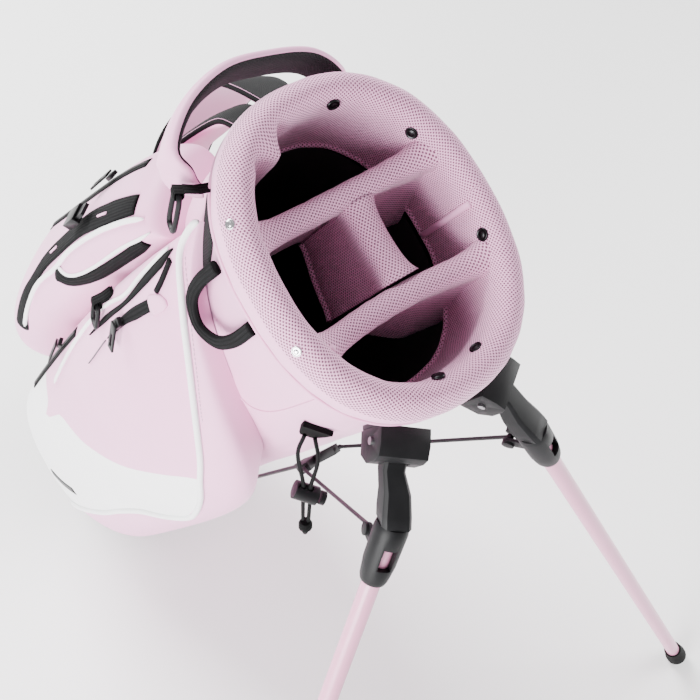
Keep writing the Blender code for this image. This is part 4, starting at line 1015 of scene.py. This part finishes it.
# Trims on the right pocket: one piping round its front edge and a long zip.
piping("right_pocket_piping", right_tree, [pocket_point(right_pocket, u, v) for u, v in (
    (0.90, 0.96), (0.60, 0.955), (0.30, 0.95), (0.13, 0.91), (0.085, 0.80), (0.08, 0.60), (0.08, 0.40),
    (0.085, 0.20), (0.12, 0.09), (0.30, 0.045), (0.60, 0.04), (0.90, 0.04))], 0.0024)
right_zip = [pocket_point(right_pocket, u, v) for u, v in (
    (0.62, 0.90), (0.70, 0.86), (0.76, 0.76), (0.78, 0.60), (0.78, 0.42), (0.78, 0.26))]
tape("right_pocket_zip_tape", right_tree, right_zip,
     ((0, 0.006), (0.15, 0.011), (0.9, 0.011), (1.0, 0.006)), black_webbing, thick=0.0008)
piping("right_pocket_zip_coil", right_tree, right_zip, 0.0011, black_cloth, lift=0.0014)

# On the cuff, beside the big pocket: a mesh patch and a felled seam round the loop.
tape("cuff_mesh_patch", skin_tree, (
    (-0.083, 0.096, 0.846), (-0.091, 0.082, 0.842), (-0.096, 0.068, 0.832), (-0.099, 0.056, 0.814),
    (-0.100, 0.050, 0.800)),
     ((0, 0.020), (0.5, 0.022), (0.75, 0.018), (1.0, 0.001)), dark_mesh, thick=0.0020)
cuff_seam, cuff_outs = laid(skin_tree, even((
    (-0.100, 0.052, 0.800), (-0.104, 0.037, 0.790), (-0.105, 0.005, 0.765), (-0.103, -0.025, 0.745),
    (-0.099, -0.045, 0.735), (-0.094, -0.062, 0.738), (-0.090, -0.072, 0.765), (-0.088, -0.076, 0.825),
    (-0.088, -0.077, 0.852))), 0.0002)
stitches("cuff_seam_stitches", cuff_seam, cuff_outs, pink_thread)
cord_round("cuff_seam_fold", [p + o * 0.0002 for p, o in zip(cuff_seam, cuff_outs)], 0.0008, pink_cloth)

# ======================================================================
# Grab handle
# A padded arch on the spine: coated cloth outside, black air mesh inside, its
# ends sewn flat to the skin under the collar.
# ======================================================================
handle_z = collar_z - 0.004
handle_line = smooth([Vector(p) for p in (
    (-0.0868, 0.1042, handle_z - 0.030), (-0.0935, 0.1155, handle_z - 0.010),
    (-0.0940, 0.1310, handle_z), (-0.0680, 0.1530, handle_z + 0.004),
    (-0.0320, 0.1640, handle_z + 0.006), (0.0060, 0.1600, handle_z + 0.004),
    (0.0380, 0.1510, handle_z), (0.0560, 0.1370, handle_z - 0.010),
    (0.0620, 0.1240, handle_z - 0.030))], 8)
handle_rows = []
handle_last = len(handle_line) - 1
for k, here in enumerate(handle_line):
    ahead = (handle_line[min(k + 1, handle_last)] - handle_line[max(k - 1, 0)]).normalized()
    wide = Vector((0, 0, 1))
    wide = (wide - ahead * wide.dot(ahead)).normalized()
    thick = ahead.cross(wide)
    if thick.dot(Vector((here.x, here.y, 0))) < 0:
        thick = -thick
    share = k / handle_last
    ends = min(1.0, min(share, 1 - share) / 0.12)
    half = 0.0150 + 0.0030 * ends
    fat = 0.0026 + 0.0030 * ends
    row = []
    for t in range(28):
        turn = 2 * math.pi * t / 28
        c, s = math.cos(turn), math.sin(turn)
        row.append(here + wide * half * math.copysign(abs(c) ** 0.6, c)
                   + thick * fat * math.copysign(abs(s) ** 0.8, s))
    handle_rows.append(row)
handle = sewn("handle_padding", handle_rows, [pink_cloth, dark_mesh], "bag",
              part=lambda i, j, c: 1 if 15 <= i <= 26 else 0)
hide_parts("grab_handle")


# ======================================================================
# Shoulder straps and bottle sleeve
# Two padded straps hang off the spine; a stretch sleeve for a bottle stands
# between the spine and the right pocket.
# ======================================================================
for strap_name, turn, out, lower_lift in (("shoulder_strap_left", 88, 0.052, 1.15),
                                          ("shoulder_strap_right", 70, 0.100, 1.275)):
    points, sizes = [], []
    for drop, lift, size in ((0.067, 0.010, 0.026), (0.092, 0.030, 0.032), (0.162, 1.0, 0.058),
                             (0.262, 1.25, 0.062), (0.382, lower_lift, 0.058),
                             (0.482, 0.6, 0.034), (0.542, 0.010, 0.024)):
        z = collar_z - drop
        reach = lift if lift < 0.05 else out * lift * 0.8
        points.append(outline(turn, z, skin_inset) + outward(turn, z) * reach)
        sizes.append(size)
    line = smooth(points, 12)
    side = Vector((0, 0, 1)).cross(outward(turn, 0.5))
    rows = []
    for k, here in enumerate(line):
        ahead = (line[min(k + 1, len(line) - 1)] - line[max(k - 1, 0)]).normalized()
        over = side.cross(ahead)
        low = min(k // 12, len(sizes) - 2)
        share = (k - low * 12) / 12
        blend = share * share * (3 - 2 * share)
        half = (sizes[low] + (sizes[low + 1] - sizes[low]) * blend) / 2
        row = []
        for t in range(36):
            angle = 2 * math.pi * t / 36
            c, s = math.cos(angle), math.sin(angle)
            row.append(here + side * half * math.copysign(abs(c) ** 0.45, c)
                       + over * 0.0056 * math.copysign(abs(s) ** 0.75, s))
        rows.append(row)
    for edge_name, place in (("near", 0), ("far", 18)):
        edge_line = [row[place] for row in rows[2:-2]]
        cord_round(strap_name + "_binding_" + edge_name, edge_line, 0.0022, black_webbing)
    strap = sewn(strap_name + "_pad", rows, [pink_cloth, dark_mesh], "bag",
                 part=lambda i, j, c: 1 if 20 <= i <= 33 else 0)
    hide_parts(strap_name)

sleeve_turn = 36
sleeve_low, sleeve_high = collar_z - 0.512, collar_z - 0.312
sleeve_radius = 0.039
sleeve_out = outward(sleeve_turn, sleeve_low)
sleeve_side = Vector((0, 0, 1)).cross(sleeve_out)
sleeve_rows = []
for z, radius in ([(sleeve_low + 0.2 * k / 24, sleeve_radius + 0.0006 * math.sin(k * 0.9))
                   for k in range(25)]
                  + [(sleeve_high, 0.0372), (sleeve_high - 0.010, 0.0362), (sleeve_low + 0.05, 0.0360),
                     (sleeve_low + 0.003, 0.0360)]):
    centre = (outline(sleeve_turn, min(z, sleeve_high), skin_inset)
              + sleeve_out * (sleeve_radius + 0.0045))
    sleeve_rows.append([centre + radius * (math.cos(t) * sleeve_side + math.sin(t) * sleeve_out)
                        for t in (2 * math.pi * k / 64 for k in range(64))])
sleeve = sewn("bottle_sleeve_cloth", sleeve_rows, [pink_cloth, dark_mesh], "bag",
              part=lambda i, j, c: 1 if c.z < sleeve_high - 0.03 and j < 25 else 0)
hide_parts("bottle_sleeve")


# ======================================================================
# Webbing loop on the cuff
# One length of ribbed webbing bent to a U, both ends sewn in under the collar.
# ======================================================================
loop_x = -0.1085
loop_line = smooth([Vector((loop_x - out, y, collar_z - drop)) for out, y, drop in (
    (0, 0.041, 0.004), (0.004, 0.041, 0.037), (0.007, 0.034, 0.062), (0.008, 0.016, 0.0755),
    (0.007, -0.002, 0.062), (0.004, -0.009, 0.037), (0, -0.009, 0.004))], 10)
loop_rows = []
for k, here in enumerate(loop_line):
    ahead = (loop_line[min(k + 1, len(loop_line) - 1)] - loop_line[max(k - 1, 0)]).normalized()
    over = Vector((-1, 0, 0.25))
    over = (over - ahead * over.dot(ahead)).normalized()
    side = ahead.cross(over)
    row = []
    for t in range(24):
        angle = 2 * math.pi * t / 24
        c, s = math.cos(angle), math.sin(angle)
        ribs = 1.0 + 0.05 * math.cos(angle * 12)
        row.append(here + side * 0.0054 * ribs * math.copysign(abs(c) ** 0.6, c)
                   + over * 0.0027 * ribs * math.copysign(abs(s) ** 0.8, s))
    loop_rows.append(row)
loop = sewn("cuff_loop_webbing", loop_rows, [black_webbing], "bag")
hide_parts("cuff_webbing_loop")


# ======================================================================
# Ring tabs
# A short length of webbing goes up from a seam, over the straight side of each
# ring and down again; both ends are sewn into the same seam.
# ======================================================================
tab_half_width = 0.0049
tab_half_thick = 0.0007
tab_length = 0.024               # from the seam up to the ring
bend_radius = 0.0037             # round the ring's own wire
to_bag = bag_place.inverted()
for side_name, out, tree in (("upper", Vector((-0.92, 0.39, 0)).normalized(), skin_tree),
                             ("middle", Vector((-0.93, 0.36, 0)).normalized(), big_tree)):
    top = to_bag @ Vector(record_joints[side_name + "_ring_swing"]["pos_m"])
    hang = (down - out * down.dot(out)).normalized()
    sideways = out.cross(hang)
    sewn_at = laid(tree, [top - hang * tab_length], 0.0012)[0][0]
    tab_path = [sewn_at, sewn_at.lerp(top - out * bend_radius, 0.5),
                top - hang * 0.004 - out * bend_radius]
    tab_path += [top + bend_radius * (-math.cos(t) * out + math.sin(t) * hang)
                 for t in (math.pi * k / 10 for k in range(11))]
    tab_path += [top - hang * 0.004 + out * bend_radius,
                 sewn_at.lerp(top + out * bend_radius, 0.45) + out * 0.0012, sewn_at + out * 0.0016]
    tab_rows = []
    for k, here in enumerate(tab_path):
        ahead = (tab_path[min(k + 1, len(tab_path) - 1)] - tab_path[max(k - 1, 0)]).normalized()
        over = ahead.cross(sideways).normalized()
        tab_rows.append([here
                         + sideways * tab_half_width * math.copysign(abs(math.cos(t)) ** 0.4, math.cos(t))
                         + over * tab_half_thick * math.copysign(abs(math.sin(t)) ** 0.8, math.sin(t))
                         for t in (2 * math.pi * j / 20 for j in range(20))])
    tab = sewn(side_name + "_ring_webbing", tab_rows, [black_webbing], "bag")
    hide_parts(side_name + "_ring_tab")


# ======================================================================
# Leg set, linkage, base and small fittings
# Glass-filled nylon mouldings with eased edges, lacquered aluminium tubes,
# rubber boots and foot, coated wires; screws and pin heads are zinc plated.
# ======================================================================
def eased(width, *names):
    """Round the hard edges of moulded parts a little."""
    for name in names:
        item = frame["nodes"][name]
        joined = item.modifiers.new("joined_faces", "WELD")
        joined.merge_threshold = 0.000001
        edge = item.modifiers.new("eased_edges", "BEVEL")
        edge.width = width
        edge.segments = 2
        edge.limit_method = "ANGLE"
        edge.angle_limit = math.radians(38)
        edge.harden_normals = False


def soft_shading():
    """Light rounds over the shallow facets of turned and moulded parts; real corners stay crisp."""
    group = bpy.data.node_groups.new("soft_shading", "GeometryNodeTree")
    for way in ("INPUT", "OUTPUT"):
        group.interface.new_socket("Geometry", in_out=way, socket_type="NodeSocketGeometry")
    enter = group.nodes.new("NodeGroupInput")
    joined = group.nodes.new("GeometryNodeMergeByDistance")
    joined.inputs["Distance"].default_value = 0.000001
    crisp = group.nodes.new("GeometryNodeSetMeshNormal")
    angle = group.nodes.new("GeometryNodeInputMeshEdgeAngle")
    steep = group.nodes.new("FunctionNodeCompare")
    steep.operation = "GREATER_THAN"
    steep.inputs[1].default_value = math.radians(32)
    leave = group.nodes.new("NodeGroupOutput")
    group.links.new(enter.outputs[0], joined.inputs["Geometry"])
    group.links.new(joined.outputs[0], crisp.inputs["Mesh"])
    group.links.new(angle.outputs[0], steep.inputs[0])
    group.links.new(steep.outputs[0], crisp.inputs["Edge Sharpness"])
    group.links.new(crisp.outputs[0], leave.inputs[0])
    return group


leg_black = plastic_finish("leg_moulding", (0.004, 0.004, 0.0045), (0.011, 0.011, 0.012), 0.44, 1100.0)
fitting_black = plastic_finish("small_fitting", (0.003, 0.003, 0.0035), (0.009, 0.009, 0.010), 0.36)
boot_rubber = plastic_finish("boot_rubber", (0.003, 0.003, 0.003), (0.008, 0.008, 0.008), 0.78, 700.0)
wire_black = plastic_finish("coated_wire", (0.004, 0.004, 0.0045), (0.010, 0.010, 0.011), 0.35, 900.0)
zinc = metal_finish("zinc_plate", (0.48, 0.48, 0.50), 0.32)


def lacquer_finish(name, dark, light):
    """Lacquered tube: satin colour coat with a faint orange-peel surface."""
    finish, tree, shader = new_finish(name, light, 0.34)
    shader.inputs["Coat Weight"].default_value = 0.35
    shader.inputs["Coat Roughness"].default_value = 0.22
    place = node(tree, "ShaderNodeTexCoord")
    peel = node(tree, "ShaderNodeTexNoise", _Scale=420.0, _Detail=1.0)
    cloud = node(tree, "ShaderNodeTexNoise", _Scale=9.0, _Detail=2.0)
    tree.links.new(place.outputs["Object"], peel.inputs["Vector"])
    tree.links.new(place.outputs["Object"], cloud.inputs["Vector"])
    tones(tree, shader, cloud.outputs["Fac"], dark, light)
    relief(tree, shader, peel.outputs["Fac"], 0.06, 0.0002)
    return finish


pink_lacquer = lacquer_finish("pink_lacquer", (0.60, 0.24, 0.38), (0.67, 0.29, 0.44))
dress(leg_black, "leg_mount_band", "left_leg_housing", "right_leg_housing", "left_leg_arm",
      "right_leg_arm", "left_leg_clamp", "right_leg_clamp", "wire_yoke", "rod_guide", "base_cup",
      "collar_frame", "stay_left", "stay_right", "stay_spine")
dress(pink_lacquer, "left_leg_tube", "right_leg_tube")
dress(boot_rubber, "left_leg_boot", "right_leg_boot", "base_foot")
dress(wire_black, "left_wire", "right_wire", "push_rod")
dress(zinc, "left_leg_hinge_pin", "right_leg_hinge_pin", "base_hinge_pin")
dress(fitting_black, "cord_lock", "cord_lock_button", "upper_ring", "middle_ring", "buckle_plug",
      "buckle_socket", "apparel_zip_slider", "apparel_zip_pull", "face_zip_slider", "face_zip_pull",
      "ball_zip_slider", "ball_zip_pull")
dress(black_webbing, "bungee_tab")
dress(cord_black, "bungee_knot")
big_mouldings = ("left_leg_housing", "right_leg_housing", "left_leg_arm", "right_leg_arm",
                 "left_leg_clamp", "right_leg_clamp", "leg_mount_band")
small_mouldings = ("wire_yoke", "rod_guide", "base_foot", "buckle_plug", "buckle_socket", "cord_lock",
                   "apparel_zip_slider", "apparel_zip_pull", "face_zip_slider", "face_zip_pull",
                   "ball_zip_slider", "ball_zip_pull", "base_cup")
round_parts = ("left_leg_boot", "right_leg_boot", "left_leg_tube", "right_leg_tube",
               "cord_lock_button", "upper_ring", "middle_ring", "left_wire", "right_wire", "push_rod",
               "left_leg_hinge_pin", "right_leg_hinge_pin", "base_hinge_pin", "bungee_knot",
               "inner_liner_left", "inner_liner_right")
eased(0.0009, *big_mouldings)
eased(0.0006, *small_mouldings)
rounded = soft_shading()
for name in big_mouldings + small_mouldings + round_parts:
    turned = frame["nodes"][name].modifiers.new("soft_shading", "NODES")
    turned.node_group = rounded


# ======================================================================
# Stage
# A plain pale floor and backdrop, with large soft lamps overhead and in front.
# ======================================================================
floor_data = bpy.data.meshes.new("studio_floor")
floor_data.from_pydata([(-30, -30, 0), (30, -30, 0), (30, 30, 0), (-30, 30, 0)], [], [(0, 1, 2, 3)])
floor = bpy.data.objects.new("studio_floor", floor_data)
bpy.context.collection.objects.link(floor)
floor.location.z = -0.0006
floor_finish, floor_tree, floor_shader = new_finish("studio_paper", (0.93, 0.93, 0.93), 0.9)
floor_noise = node(floor_tree, "ShaderNodeTexNoise", _Scale=3.0, _Detail=2.0)
tones(floor_tree, floor_shader, floor_noise.outputs["Fac"], (0.925, 0.925, 0.925), (0.935, 0.935, 0.935))
floor_data.materials.append(floor_finish)

world = bpy.data.worlds.new("studio")
bpy.context.scene.world = world
world.use_nodes = True
world.node_tree.nodes["Background"].inputs["Color"].default_value = (1.0, 1.0, 1.0, 1.0)
world.node_tree.nodes["Background"].inputs["Strength"].default_value = 0.62
for lamp_name, place, size, power in (("back_softbox", (-0.2, 1.9, 2.4), 1.8, 265),
                                      ("left_softbox", (-2.3, -1.2, 0.8), 1.5, 200),
                                      ("right_softbox", (2.2, -1.3, 0.8), 1.4, 85)):
    lamp_data = bpy.data.lights.new(lamp_name, "AREA")
    lamp_data.size = size
    lamp_data.energy = power
    lamp = bpy.data.objects.new(lamp_name, lamp_data)
    bpy.context.collection.objects.link(lamp)
    lamp.location = place
    aim = Vector((0, -0.4, 0.5)) - Vector(place)
    lamp.rotation_euler = aim.to_track_quat("-Z", "Y").to_euler()
